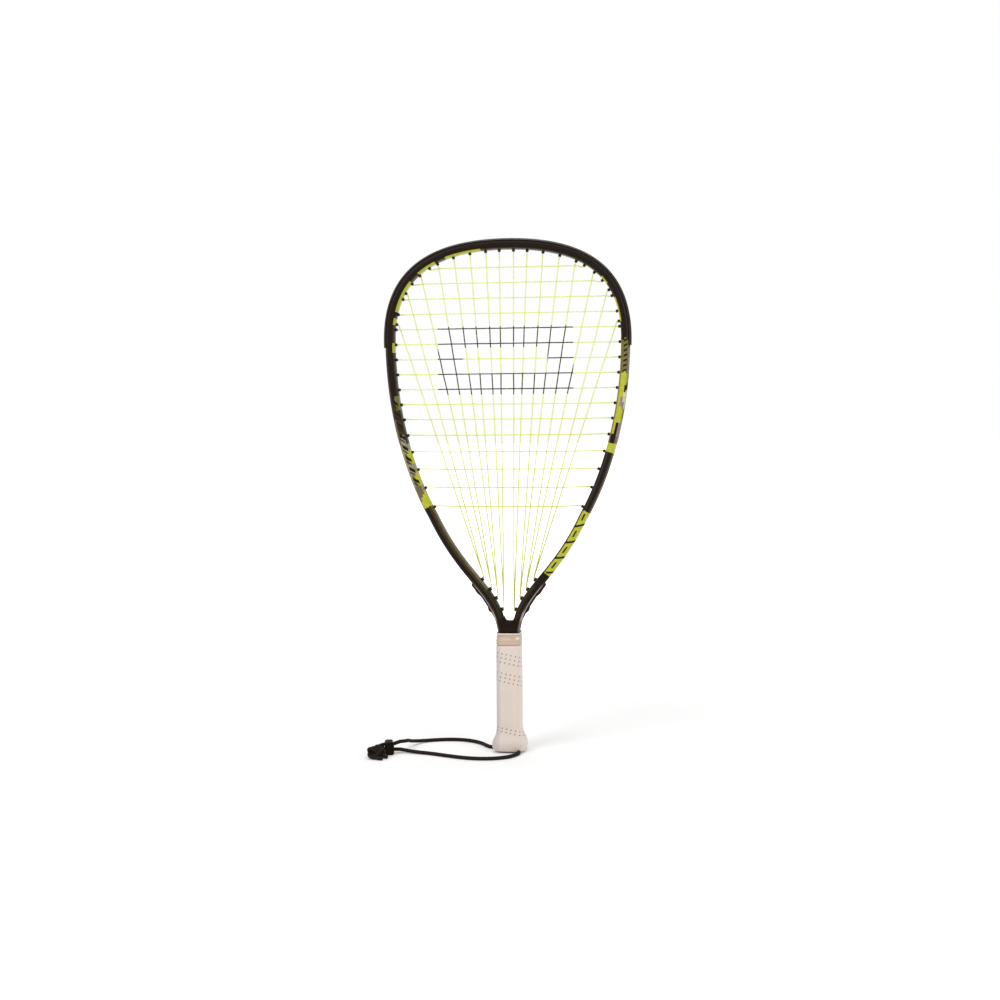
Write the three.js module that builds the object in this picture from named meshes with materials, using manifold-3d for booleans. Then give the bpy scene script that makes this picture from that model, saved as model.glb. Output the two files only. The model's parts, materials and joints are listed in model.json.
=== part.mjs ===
// A racquetball racket standing on its butt. Millimetres, +Z up along the handle, +X across the head,
// +Y away from the front face. The origin is the middle of the butt's foot, on the surface it stands on.
import * as THREE from "three";
import { mergeVertices } from "three/addons/utils/BufferGeometryUtils.js";
import Module from "manifold-3d";

const wasm = await Module();
wasm.setup();

// Overall sizes
const overallLength = 558.8;
const gap = 0.3;
const overrun = 5;

// Frame tube: face is its width in the plane of the strings, beam is its depth
const tubeFace = 9.6;
const tubeBeam = 21;
const tubeWall = 1.5;
const legFace = 9;
const grooveDepth = 2.4;
const grooveWidth = 8.2;
const legTaperTop = 158;
const legTaperBottom = 130;
const grooveFadeTop = 145;
const grooveFadeBottom = 134;
// Half of the tube's outline, front side, as shares of half the face and half the beam
const tubeShares = [[1, 0.61], [0.58, 0.905], [0.05, 1], [-0.45, 0.94], [-0.88, 0.7], [-1, 0.36]];
const cavityShares = [[1, 0.84], [-1, 0.62]];

// Middle line of the tube: crown, widest place, knee, and parallel legs in the handle
const headWidth = 266;
const widestHeight = 450.4;
const kneeHalfWidth = 82.7;
const kneeHeight = 258.7;
const kneeLean = 25.5;
const legTopHeight = 113.5;
const legSpacing = 12.4;
const legFootHeight = 18;
const legRise = 66.8;
const crownReachShare = 0.69;
const widestRiseShare = 0.66;
const widestDropShare = 0.6;
const kneeRiseShare = 0.04;
const kneeDropShare = 0.62;
const crownSteps = 12;
const sideSteps = 8;
const legSteps = 11;

// Bumper guard and grommet strips
const bumperThickness = 1.4;
const bumperCrosses = 6;
const bumperEndShare = 0.2;
const bumperLipShare = 0.75;
const stripFloor = 0.7;
const stripWall = 1.2;
const stripProud = 0.2;
const stripJoint = 1.2;
const barrelRadius = 1.65;
const boreRadius = 1.2;
const noseLength = 2.6;
const barrelSides = 6;
const boreSides = 4;

// Throat grommet strips, each with four wide barrels that take a pair of strings
const throatStripProud = 2.4;
// How far each strip stands out of the tube, as [share of the leg's length, share of throatStripProud]
const throatStripShares = [
  [0.507, 0.5], [0.516, 1.1], [0.54, 1.15], [0.558, 1.3], [0.578, 1.48], [0.593, 1.22], [0.61, 0.95],
  [0.66, 1], [0.7, 0.88], [0.714, 1.2], [0.73, 1.3], [0.75, 0.6], [0.77, 0.4], [0.79, 0.27],
];
const throatNoseShares = [0.755, 0.677, 0.61, 0.53];
const throatNoseLength = 2.5;
const throatBarrelLength = 4.2;
const throatBarrelDepth = 5;
const throatPairSpacing = 2;

// Strings
const stringRadius = 0.65;
const stringSides = 4;
const stringLead = 0.8;
const stringTail = 6;
const laneTurn = 2.2;
// Places of the main strings' upper ends as shares of the tube's length from the crown to the widest place
const mainShares = [0.042, 0.123, 0.218, 0.32, 0.425, 0.557, 0.699, 0.9];
// Heights of the cross strings as shares of the height from the crown down to the knee
const crossCount = 16;
const firstCrossShare = 0.0817;
const crossPitchShare = 0.05586;
const evenCrosses = 11;
const crossGrowthShare = 0.00307;

// Throat bridge between the legs
const bridgeRise = 15.3;
const bridgeHalfWidth = 9;
// One side of the bridge's outline from the foot up, as shares of its half width and its rise
const bridgeShares = [[0.9, 0], [0.95, 0.2], [1, 0.45], [0.97, 0.7], [0.85, 0.92], [0.73, 1]];
const bridgeTipShare = 0.64;
// The crotch: its height as a share of the rise, its flat and the corner beside it as shares of the half width
const crotchShare = 0.712;
const crotchFlatShare = 0.26;
const crotchCornerShare = 0.5;
const bridgeProud = 1;

// Handle: pallets round the legs, covered by the grip
const gripHalfWidth = 13.5;
const gripHalfDepth = 15;
const gripChamfer = 4.6;
const wrapThickness = 1.6;
const palletBottom = 10.5;
const palletTop = 129.6;
const palletFlat = 7.4;
const wrapBottom = 1.4;
const wrapTop = 117.6;
const tapeTop = 129;
const collarTop = 131.2;
const plugLength = 8;
const collarWall = 0.7;

// Butt flare: height, and how far the grip stands out there, as [share of height, share of flare]
const flareHeight = 30;
const flareOut = 5.6;
const flareShares = [
  [0, -0.2], [0.047, 0.15], [0.13, 0.76], [0.27, 1], [0.4, 0.98], [0.53, 0.68], [0.73, 0.2], [1, 0],
];
const capTop = 19;
const rimInset = 0.5;
const chamberRadius = 8.6;
const pinRadius = 1.5;
const pinHeight = 6.2;
const pinSeat = 3;
const pinTurn = 56;
const screwRadius = 1.1;
const screwHeadRadius = 2.1;
const screwHeadLength = 1;
const screwLength = 5;
const screwHeight = 15;

// Tether cord. The points of its route are chosen by hand.
const cordRadius = 2;
const cordSides = 8;
const cordStepShare = 5;
const cordGrooveWidth = 4.8;
const cordGrooveHeight = 4.8;
const tetherFrontRoute = [
  [6.3, -10.3, 2.05], [8.9, -14.6, 2.05], [11.3, -18.6, 2.05], [11.4, -24.6, 2.05], [8, -32.8, 2.05],
  [3, -40, 2.05], [-5, -45.6, 2.05], [-15, -49.6, 2.05], [-27, -51, 2.05], [-40, -49.5, 2.05],
  [-53, -45.4, 2.05], [-65, -40.2, 2.05], [-77, -34.8, 2.05], [-89, -30.2, 2.1], [-99, -27.6, 2.3],
  [-107.5, -25.4, 2.7], [-114, -23.6, 3.3], [-118.6, -23.1, 3.9], [-122.6, -23.94, 4.1],
  [-126, -24.85, 4.1], [-134.6, -27.15, 4.1], [-138, -28.06, 4.1], [-141, -30.2, 4.3],
  [-142.6, -34, 4.8], [-142.8, -38, 5.3], [-142.4, -42, 5.8],
];
const tetherBackRoute = [
  [-11.9, 1.95, 2.05], [-16.8, 2.75, 2.05], [-21.8, 4, 2.05], [-27, 10, 2.05], [-32.6, 18.8, 2.05],
  [-40.5, 27, 2.05], [-50, 33, 2.05], [-60.5, 36.2, 2.05], [-72, 36.4, 2.05], [-84, 34, 2.05],
  [-95, 29.6, 2.2], [-104, 22.6, 3], [-109.8, 13.6, 4.8], [-112.4, 4, 7], [-113.4, -4.6, 9.2],
  [-114.2, -12.2, 10.7], [-115.8, -18.4, 11.2], [-119, -22.6, 10.8], [-122.6, -23.94, 10.2],
  [-126, -24.85, 10.1], [-134.6, -27.15, 10.1], [-138, -28.06, 10.1], [-142.4, -30.6, 10.1],
  [-145.2, -34.6, 9.9], [-146, -38.6, 9.5], [-145.6, -42.4, 9],
];
const tetherBightRoute = [
  [6.1, -10, 2.05], [4.8, -7.8, 2.05], [3.8, -6.2, 3.2], [2.9, -4.7, 5.4], [2.1, -3.4, 7.8],
  [1.1, -1.6, 9.6], [0, 0, 10.3], [-1.8, 0.5, 9.9], [-3.6, 0.7, 8], [-4.9, 0.8, 5.4],
  [-6.2, 1, 3.2], [-8, 1.3, 2.05], [-11.5, 1.9, 2.05],
];

// Cord lock: a body with one slot for both strands, a plunger with a knob, and a spring. Its own x runs
// along the strands and its own y along the plunger, from the middle of the slot.
const lockPlace = [-130.3, -26, 0];
const lockTurn = 15;
const lockHalfLength = 4.6;
const lockBottom = 0.1;
const lockTop = 14.1;
const lockFront = -10.5;
const lockBack = 4.6;
const lockRound = 2.6;
const lockWall = 1.1;
const lockCapWall = 0.7;
const lockSlotFront = -2.5;
const lockSlotBack = 2.3;
const lockSlotBottom = 1.8;
const lockSlotTop = 12.4;
const buttonTravel = 2.5;
const plungerFront = -3.9;
const plungerBack = 0.8;
const buttonRound = 0.8;
const knobProud = 3.4;
const knobRadius = 1.8;
const knobHeight = 10.7;
const knobSides = 10;
const springRadius = 1.4;
const springWire = 0.3;
const springTurns = 4;
const springSteps = 7;
const springSides = 4;

// Knot that ties both ends together behind the lock
const knotCentre = [-141.2, -48.6, 6.9];
const knotLength = 21;
const knotWidth = 19;
const knotHeight = 12.2;
const knotTurn = 20;
const knotTilt = 4;
const knotSteps = 20;
const knotCoreShare = 0.66;
const knotCoreSides = 6;
const knotSides = 6;
const knotTails = [
  [[-140, -48, 4.6], [-134, -50.6, 3], [-127.5, -52.5, 2.2]],
  [[-142, -52, 4.4], [-138.4, -57.6, 2.6], [-131.5, -60.5, 2.2]],
];

// Colours
const black = new THREE.MeshStandardMaterial({ color: 0x14110f, roughness: 0.3, metalness: 0.1 });
const nylon = new THREE.MeshStandardMaterial({ color: 0x17151a, roughness: 0.55, metalness: 0 });
const neon = new THREE.MeshStandardMaterial({ color: 0xd8e85a, roughness: 0.4, metalness: 0 });
const foam = new THREE.MeshStandardMaterial({ color: 0x3a3836, roughness: 0.8, metalness: 0 });
const beige = new THREE.MeshStandardMaterial({ color: 0xddd0c6, roughness: 0.75, metalness: 0 });
const tan = new THREE.MeshStandardMaterial({ color: 0xd2b29b, roughness: 0.7, metalness: 0 });
const white = new THREE.MeshStandardMaterial({ color: 0xf2efe9, roughness: 0.6, metalness: 0 });
const cordBlack = new THREE.MeshStandardMaterial({ color: 0x120f10, roughness: 0.85, metalness: 0 });
const steel = new THREE.MeshStandardMaterial({ color: 0xb9bcc0, roughness: 0.3, metalness: 1 });

// Worked-out sizes
const half = tubeFace / 2;
const legHalf = legFace / 2;
const beamHalf = tubeBeam / 2;
const crownHeight = overallLength - bumperThickness - gap - half;
const headHalf = headWidth / 2 - half;
const grooveFloor = half - grooveDepth;
const stripBase = grooveFloor + gap;
const channelFloor = stripBase + stripFloor;
const barrelTop = stripBase + stripFloor / 2;
const stripHalfWidth = grooveWidth / 2 - gap;
const channelHalfWidth = stripHalfWidth - stripWall;
const laneHeight = channelFloor + gap + stringRadius;
const laneOffset = 2 * stringRadius + gap;
const weave = 2 * stringRadius + gap;
const noseTip = half + noseLength;
const throatNoseTip = half + throatNoseLength;

// Solids

function solidOf(geometry) {
  const bare = geometry.clone();
  bare.deleteAttribute("normal");
  bare.deleteAttribute("uv");
  const merged = mergeVertices(bare);
  const mesh = new wasm.Mesh({
    numProp: 3,
    vertProperties: merged.attributes.position.array,
    triVerts: new Uint32Array(merged.index.array),
  });
  return new wasm.Manifold(mesh);
}

function geometryOf(solid) {
  const mesh = solid.getMesh();
  const geometry = new THREE.BufferGeometry();
  geometry.setAttribute("position", new THREE.BufferAttribute(mesh.vertProperties, 3));
  geometry.setIndex(new THREE.BufferAttribute(mesh.triVerts, 1));
  geometry.computeVertexNormals();
  return geometry;
}

function joined(solids) {
  return solids.reduce((whole, solid) => whole.add(solid));
}

// A closed skin over rings of points. The first and last rings are filled; outline gives their flat shape.
function skin(rings, outline) {
  const count = rings[0].length;
  const points = rings.flat().flatMap((point) => [point.x, point.y, point.z]);
  const index = [];
  for (let ring = 0; ring < rings.length - 1; ring += 1) {
    for (let side = 0; side < count; side += 1) {
      const next = (side + 1) % count;
      const a = ring * count + side;
      const b = ring * count + next;
      index.push(a, b, b + count, a, b + count, a + count);
    }
  }
  const last = (rings.length - 1) * count;
  const clockwise = THREE.ShapeUtils.isClockWise(outline);
  for (const triangle of THREE.ShapeUtils.triangulateShape(outline, [])) {
    const [a, b, c] = clockwise ? triangle.reverse() : triangle;
    index.push(c, b, a, last + a, last + b, last + c);
  }
  const geometry = new THREE.BufferGeometry();
  geometry.setAttribute("position", new THREE.Float32BufferAttribute(points, 3));
  geometry.setIndex(index);
  if (signedVolume(geometry) < 0) {
    index.reverse();
    geometry.setIndex(index);
  }
  return geometry;
}

function signedVolume(geometry) {
  const place = geometry.attributes.position;
  const corners = [new THREE.Vector3(), new THREE.Vector3(), new THREE.Vector3()];
  let volume = 0;
  for (let k = 0; k < geometry.index.count; k += 3) {
    corners.forEach((corner, n) => corner.fromBufferAttribute(place, geometry.index.getX(k + n)));
    volume += corners[0].dot(corners[1].clone().cross(corners[2]));
  }
  return volume;
}

function circle(radius, sides) {
  const points = [];
  for (let side = 0; side < sides; side += 1) {
    const turn = (2 * Math.PI * side) / sides;
    points.push(new THREE.Vector2(radius * Math.cos(turn), radius * Math.sin(turn)));
  }
  return points;
}

// A prism with a flat outline (vectors across and up) swept along a list of points, mitred at each.
function sweep(points, outline, across, up) {
  const start = points[1].clone().sub(points[0]).normalize();
  let offsets = outline.map(({ x, y }) => {
    const offset = across.clone().multiplyScalar(x).addScaledVector(up, y);
    return offset.addScaledVector(start, -offset.dot(start));
  });
  const rings = points.map((point, k) => {
    const into = k === 0 ? start : point.clone().sub(points[k - 1]).normalize();
    const out = k === points.length - 1 ? into : points[k + 1].clone().sub(point).normalize();
    const mitre = into.clone().add(out).normalize();
    const ring = offsets.map((offset) => {
      const slide = -offset.dot(mitre) / into.dot(mitre);
      return offset.clone().addScaledVector(into, slide);
    });
    offsets = ring.map((offset) => offset.clone().addScaledVector(out, -offset.dot(out)));
    return ring.map((offset) => offset.add(point));
  });
  return skin(rings, outline);
}

// A round tube along a list of points
function tube(points, radius, sides) {
  const start = points[1].clone().sub(points[0]).normalize();
  const helper = Math.abs(start.y) < 0.9 ? new THREE.Vector3(0, 1, 0) : new THREE.Vector3(0, 0, 1);
  const across = helper.clone().cross(start).normalize();
  return sweep(points, circle(radius, sides), across, start.clone().cross(across));
}

function box(low, high) {
  const size = high.map((value, axis) => value - low[axis]);
  const geometry = new THREE.BoxGeometry(...size);
  return geometry.translate(...low.map((value, axis) => value + size[axis] / 2));
}

function vectors(list) {
  return list.map((point) => new THREE.Vector3(...point));
}

function smooth(list, step) {
  const curve = new THREE.CatmullRomCurve3(vectors(list), false, "centripetal");
  return curve.getSpacedPoints(Math.round(curve.getLength() / step));
}

// Middle line of the tube: stations from the crown down the right side

const curveDegrees = THREE.MathUtils.degToRad(kneeLean);
const kneeWay = new THREE.Vector2(Math.sin(curveDegrees), Math.cos(curveDegrees));
const crown = new THREE.Vector2(0, crownHeight);
const widest = new THREE.Vector2(headHalf, widestHeight);
const knee = new THREE.Vector2(kneeHalfWidth, kneeHeight);
const legTop = new THREE.Vector2(legSpacing / 2, legTopHeight);
const legFoot = new THREE.Vector2(legSpacing / 2, legFootHeight);
const crownRise = crownHeight - widestHeight;
const sideDrop = widestHeight - kneeHeight;
const legDrop = kneeHeight - legTopHeight;

const middleLine = [
  new THREE.CubicBezierCurve(
    crown,
    new THREE.Vector2(headHalf * crownReachShare, crownHeight),
    new THREE.Vector2(headHalf, widestHeight + crownRise * widestRiseShare),
    widest,
  ),
  new THREE.CubicBezierCurve(
    widest,
    new THREE.Vector2(headHalf, widestHeight - sideDrop * widestDropShare),
    knee.clone().addScaledVector(kneeWay, sideDrop * kneeRiseShare),
    knee,
  ),
  new THREE.CubicBezierCurve(
    knee,
    knee.clone().addScaledVector(kneeWay, -legDrop * kneeDropShare),
    new THREE.Vector2(legTop.x, legTopHeight + legRise),
    legTop,
  ),
  new THREE.LineCurve(legTop, legFoot),
];
const lineSteps = [crownSteps, sideSteps, legSteps, 1];
const fineSteps = 240;

// One place on the tube: its middle, the outward way in the plane of the strings, and its place along
function stationAt(part, share, side = 1) {
  const place = middleLine[part].getPoint(share);
  const way = middleLine[part].getTangent(share);
  return {
    along: part + share,
    side,
    middle: new THREE.Vector3(side * place.x, 0, place.y),
    out: new THREE.Vector3(side * -way.y, 0, way.x).normalize(),
    down: new THREE.Vector3(side * way.x, 0, way.y).normalize(),
  };
}

function at(station, out, deep = 0, down = 0) {
  return station.middle.clone()
    .addScaledVector(station.out, out)
    .addScaledVector(new THREE.Vector3(0, 1, 0), deep)
    .addScaledVector(station.down, down);
}

// Finds the station at which a measure that falls along the line reaches a value
function stationWhere(measure, value, side) {
  let [low, high] = [0, 3];
  for (let k = 0; k < fineSteps; k += 1) {
    const middle = (low + high) / 2;
    const station = stationAt(Math.floor(middle), middle % 1, side);
    if (measure(station) > value) {
      low = middle;
    } else {
      high = middle;
    }
  }
  return stationAt(Math.floor(low), low % 1, side);
}

function stationAtHeight(height, out, side) {
  return stationWhere((station) => at(station, out).z, height, side);
}

const ringPlaces = lineSteps.flatMap((steps, part) => {
  const shares = Array.from({ length: steps }, (_, k) => [part, k / steps]);
  return part === lineSteps.length - 1 ? [...shares, [part, 1]] : shares;
});

function ringStations(side) {
  return ringPlaces.map(([part, share]) => stationAt(part, share, side));
}

const hoopStations = [...ringStations(-1).slice(1).reverse(), ...ringStations(1)];

// Stations of the rings that lie between two places on one side, in order
function between(first, last) {
  return ringStations(first.side).filter(({ along }) => along > first.along && along < last.along);
}

// Sections of the tube, as [out, deep]

function fadeAt(station) {
  return THREE.MathUtils.smoothstep(station.middle.z, grooveFadeBottom, grooveFadeTop);
}

function mirroredOutline(frontHalf) {
  return [...frontHalf, ...frontHalf.map(([out, deep]) => [out, -deep]).reverse()];
}

function faceAt(station) {
  const taper = THREE.MathUtils.smoothstep(station.middle.z, legTaperBottom, legTaperTop);
  return legHalf + (half - legHalf) * taper;
}

function tubeOutline(station, grow) {
  const face = faceAt(station);
  return mirroredOutline(tubeShares.map(([out, deep]) => [out * (face + grow), -deep * (beamHalf + grow)]));
}

function grooveOutline(station) {
  const face = faceAt(station);
  const floor = face + gap - (grooveDepth + gap) * fadeAt(station);
  return mirroredOutline([[floor, -grooveWidth / 2], [face + overrun, -grooveWidth / 2]]);
}

function cavityOutline(station, shrink) {
  const face = faceAt(station);
  const inner = -(face - tubeWall) + shrink;
  const outer = face - grooveDepth - tubeWall - shrink;
  const middle = (inner + outer) / 2;
  const reach = (outer - inner) / 2;
  const deepest = beamHalf - tubeWall - shrink;
  return mirroredOutline(cavityShares.map(([out, deep]) => [middle + out * reach, -deep * deepest]));
}

function alongTube(stations, outlineOf) {
  const rings = stations.map((station) => {
    return outlineOf(station).map(([out, deep]) => at(station, out, deep));
  });
  const flat = outlineOf(stations[0]).map(([out, deep]) => new THREE.Vector2(out, deep));
  return skin(rings, flat);
}

function pastFeet(stations, length) {
  const first = stations[0];
  const last = stations[stations.length - 1];
  return [
    { ...first, middle: at(first, 0, 0, length) },
    ...stations,
    { ...last, middle: at(last, 0, 0, length) },
  ];
}

// String holes

const headSpan = crownHeight - kneeHeight;
const legLength = middleLine[2].getLength();

const noseHeights = Array.from({ length: crossCount }, (_, k) => {
  const grown = Math.max(0, k - evenCrosses + 1);
  const drop = firstCrossShare + crossPitchShare * k + (crossGrowthShare * grown * (grown + 1)) / 2;
  return crownHeight - headSpan * drop;
});

function crossStation(cross, side) {
  return stationAtHeight(noseHeights[cross], -half - noseLength / 2, side);
}

function mainStation(main, side) {
  return stationAt(0, middleLine[0].getUtoTmapping(mainShares[main]), side);
}

function legStation(share, side) {
  return stationAt(2, middleLine[2].getUtoTmapping(share), side);
}

function throatStation(pair, side) {
  return legStation(throatNoseShares[pair], side);
}

// Where the bumper guard ends, between two cross strings, or a little further on
function bumperEnd(side, past = 0) {
  const [before, after] = [bumperCrosses - 1, bumperCrosses].map((cross) => crossStation(cross, side).along);
  const along = before + (after - before) * bumperEndShare + past / middleLine[1].getLength();
  return stationAt(Math.floor(along), along % 1, side);
}

const sides = [-1, 1];
const crossHoles = sides.flatMap((side) => noseHeights.map((_, cross) => crossStation(cross, side)));
const mainHoles = sides.flatMap((side) => mainShares.map((_, main) => mainStation(main, side)));
const throatHoles = sides.flatMap((side) => throatNoseShares.map((_, pair) => throatStation(pair, side)));
const roundHoles = [...crossHoles, ...mainHoles];

function rod(station, radius, outer, inner, count = barrelSides, deep = 0) {
  const points = [at(station, outer, deep), at(station, inner, deep)];
  return solidOf(sweep(points, circle(radius, count), station.down, new THREE.Vector3(0, 1, 0)));
}

function bar(station, length, depth, outer, inner) {
  const outline = [[1, 1], [-1, 1], [-1, -1], [1, -1]];
  const corners = outline.map(([x, y]) => new THREE.Vector2((x * length) / 2, (y * depth) / 2));
  const points = [at(station, outer), at(station, inner)];
  return solidOf(sweep(points, corners, station.down, new THREE.Vector3(0, 1, 0)));
}

const holeRadius = barrelRadius + gap / Math.cos(Math.PI / barrelSides);

// Pieces of the frame

function frameHoop() {
  const skinSolid = solidOf(alongTube(hoopStations, (station) => tubeOutline(station, 0)));
  const hollow = solidOf(alongTube(pastFeet(hoopStations, overrun), (station) => cavityOutline(station, 0)));
  const grooved = hoopStations.filter(({ middle }) => middle.z > grooveFadeBottom);
  const groove = solidOf(alongTube(grooved, grooveOutline));
  const drilled = roundHoles.map((station) => rod(station, holeRadius, half + overrun, -half - overrun));
  const slots = throatHoles.map((station) => {
    const length = throatBarrelLength + 2 * gap;
    const depth = throatBarrelDepth + 2 * gap;
    return bar(station, length, depth, half + overrun, -half - overrun);
  });
  return skinSolid.subtract(hollow).subtract(groove).subtract(joined([...drilled, ...slots]));
}

// The space that the legs take, with a gap all round
function legSpace(side) {
  const stations = pastFeet(ringStations(side).filter(({ along }) => along >= 2), overrun).slice(1);
  return solidOf(alongTube(stations, (station) => tubeOutline(station, gap)));
}

function barrels(stations) {
  return joined(stations.map((station) => rod(station, barrelRadius, barrelTop, -noseTip)));
}

function bores(stations) {
  return joined(stations.map((station) => {
    return rod(station, boreRadius, channelFloor + overrun, -noseTip - overrun, boreSides);
  }));
}

function bumperOutline() {
  const rim = half + gap;
  const top = rim + bumperThickness;
  const [shoulder, cheek] = tubeShares;
  const shoulderDeep = -shoulder[1] * beamHalf;
  const lipOut = half + (cheek[0] - shoulder[0]) * half * bumperLipShare;
  const lipDeep = -(shoulder[1] + (cheek[1] - shoulder[1]) * bumperLipShare) * beamHalf;
  return mirroredOutline([
    [channelFloor, -channelHalfWidth],
    [top, -channelHalfWidth],
    [top, shoulderDeep - gap],
    [lipOut + gap + bumperThickness / 2, lipDeep - bumperThickness],
    [lipOut + gap, lipDeep - gap],
    [rim, shoulderDeep - gap / 2],
    [rim, -stripHalfWidth],
    [stripBase, -stripHalfWidth],
  ]);
}

function bumperGuard() {
  const [left, right] = sides.map((side) => bumperEnd(side));
  const [leftTop, top] = sides.map((side) => stationAt(0, 0, side));
  const stations = [left, ...between(leftTop, left).reverse(), top, ...between(top, right), right];
  const guard = solidOf(alongTube(stations, bumperOutline));
  const holes = roundHoles.filter(({ along }) => along < right.along);
  return guard.add(barrels(holes)).subtract(bores(holes));
}

function stripOutline(proud) {
  return mirroredOutline([
    [channelFloor, -channelHalfWidth],
    [half + proud, -channelHalfWidth],
    [half + proud, -stripHalfWidth],
    [stripBase, -stripHalfWidth],
  ]);
}

function sideStrip(side) {
  const first = bumperEnd(side, stripJoint);
  const last = stationAt(1, 1, side);
  const stations = [first, ...between(first, last), last];
  const strip = solidOf(alongTube(stations, () => stripOutline(stripProud)));
  const holes = crossHoles.filter((hole) => hole.side === side && hole.along > first.along);
  return strip.add(barrels(holes)).subtract(bores(holes));
}

function throatStrip(side) {
  const stations = throatStripShares.map(([share, proud]) => {
    return { ...legStation(share, side), proud: proud * throatStripProud };
  });
  const strip = solidOf(alongTube(stations, ({ proud }) => stripOutline(proud)));
  const holes = throatHoles.filter((hole) => hole.side === side);
  const stems = holes.map((station) => {
    return bar(station, throatBarrelLength, throatBarrelDepth, barrelTop, -throatNoseTip);
  });
  const holesThrough = holes.flatMap((station) => sides.map((way) => {
    const deep = (way * throatPairSpacing) / 2;
    return rod(station, boreRadius, channelFloor + overrun, -throatNoseTip - overrun, boreSides, deep);
  }));
  return strip.add(joined(stems)).subtract(joined(holesThrough));
}

function throatBridge() {
  const bottom = collarTop + gap;
  const crotch = bottom + bridgeRise * crotchShare;
  const right = bridgeShares.map(([across, rise]) => {
    return new THREE.Vector2(bridgeHalfWidth * across, bottom + bridgeRise * rise);
  });
  const shape = new THREE.Shape(right);
  const tip = new THREE.Vector2(bridgeHalfWidth * bridgeTipShare, bottom + bridgeRise);
  const flat = bridgeHalfWidth * crotchFlatShare;
  const corner = bridgeHalfWidth * crotchCornerShare;
  shape.lineTo(tip.x, tip.y);
  shape.quadraticCurveTo(corner, crotch, flat, crotch);
  shape.lineTo(-flat, crotch);
  shape.quadraticCurveTo(-corner, crotch, -tip.x, tip.y);
  right.reverse().forEach(({ x, y }) => shape.lineTo(-x, y));
  const depth = beamHalf + bridgeProud;
  const block = new THREE.ExtrudeGeometry(shape, { depth: 2 * depth, bevelEnabled: false, curveSegments: 8 });
  block.rotateX(Math.PI / 2).translate(0, depth, 0);
  return solidOf(block).subtract(legSpace(-1)).subtract(legSpace(1));
}

// Strings

// One main string from its turn outside the head down to its turn outside the throat
function mainRun(main, side) {
  const top = mainStation(main, side);
  const foot = throatStation(Math.floor(main / 2), side);
  const footDeep = (main % 2 === 0 ? -1 : 1) * throatPairSpacing / 2;
  const start = at(top, -noseTip - stringLead);
  const end = at(foot, -throatNoseTip - stringLead, footDeep);
  const order = side > 0 ? mainShares.length + main : mainShares.length - 1 - main;
  const crossings = noseHeights.flatMap((height, cross) => {
    const share = (start.z - height) / (start.z - end.z);
    if (height > start.z - 2 * stringRadius) return [];
    const point = start.clone().lerp(end, share);
    return [point.setY((order + cross) % 2 === 0 ? weave : -weave)];
  });
  return [at(top, laneHeight), start, ...crossings, end, at(foot, laneHeight, footDeep)];
}

// The stretch outside the tube between two holes on one side, in the lane at one side of the channel
function lane(first, last, deep) {
  const start = at(first, laneHeight, deep, laneTurn);
  const end = at(last, laneHeight, deep, -laneTurn);
  const inner = between(first, last).filter(({ middle }) => {
    const clear = 2 * laneTurn;
    return middle.distanceTo(first.middle) > clear && middle.distanceTo(last.middle) > clear;
  });
  return [start, ...inner.map((station) => at(station, laneHeight, deep)), end];
}

function mainHalf(side) {
  const points = [];
  mainShares.forEach((_, main) => {
    const run = mainRun(main, side);
    points.push(...(main % 2 === 0 ? run : run.reverse()));
    if (main % 2 === 1 && main < mainShares.length - 1) {
      points.push(...lane(mainStation(main, side), mainStation(main + 1, side), -laneOffset));
    }
  });
  const last = mainStation(mainShares.length - 1, side);
  points.push(at(last, laneHeight, -laneOffset, laneTurn), at(last, laneHeight, -laneOffset, stringTail));
  return points;
}

function mainString() {
  const [left, right] = sides.map((side) => mainHalf(side));
  const bridgeOver = sides.map((side) => at(mainStation(0, side), laneHeight, -laneOffset, -laneTurn));
  return tube([...left.reverse(), ...bridgeOver, ...right], stringRadius, stringSides);
}

function crossString() {
  const first = crossStation(0, -1);
  const points = [-stringTail, -laneTurn].map((down) => at(first, laneHeight, laneOffset, down));
  noseHeights.forEach((_, cross) => {
    const side = cross % 2 === 0 ? -1 : 1;
    const [from, to] = [crossStation(cross, side), crossStation(cross, -side)];
    const lead = -noseTip - stringLead;
    points.push(at(from, laneHeight), at(from, lead), at(to, lead), at(to, laneHeight));
    if (cross < crossCount - 1) {
      points.push(...lane(to, crossStation(cross + 1, -side), laneOffset));
    } else {
      points.push(at(to, laneHeight, laneOffset, laneTurn), at(to, laneHeight, laneOffset, stringTail));
    }
  });
  return tube(points, stringRadius, stringSides);
}

// Handle

// A chamfered ring round the handle at one height
function handleRing(halfWidth, halfDepth, chamfer, height) {
  const [cutX, cutY] = [halfWidth - chamfer, halfDepth - chamfer];
  const soft = chamfer * (1 - Math.SQRT1_2);
  const quarter = [[halfWidth, cutY], [halfWidth - soft, halfDepth - soft], [cutX, halfDepth]];
  const top = [...quarter, ...quarter.map(([x, y]) => [-x, y]).reverse()];
  const outline = [...top, ...top.map(([x, y]) => [-x, -y])];
  return outline.map(([x, y]) => new THREE.Vector3(x, y, height));
}

function stacked(rings) {
  return solidOf(skin(rings, rings[0].map(({ x, y }) => new THREE.Vector2(x, y))));
}

function handlePrism(inset, low, high) {
  const ring = (height) => {
    return handleRing(gripHalfWidth - inset, gripHalfDepth - inset, gripChamfer - inset / 2, height);
  };
  return stacked([ring(low), ring(high)]);
}

function flareAt(height) {
  const share = height / flareHeight;
  const after = flareShares.findIndex(([place]) => place >= share);
  if (after < 0) return 0;
  if (after === 0) return flareShares[0][1] * flareOut;
  const [[lowPlace, low], [highPlace, high]] = [flareShares[after - 1], flareShares[after]];
  return flareOut * (low + ((high - low) * (share - lowPlace)) / (highPlace - lowPlace));
}

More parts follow.
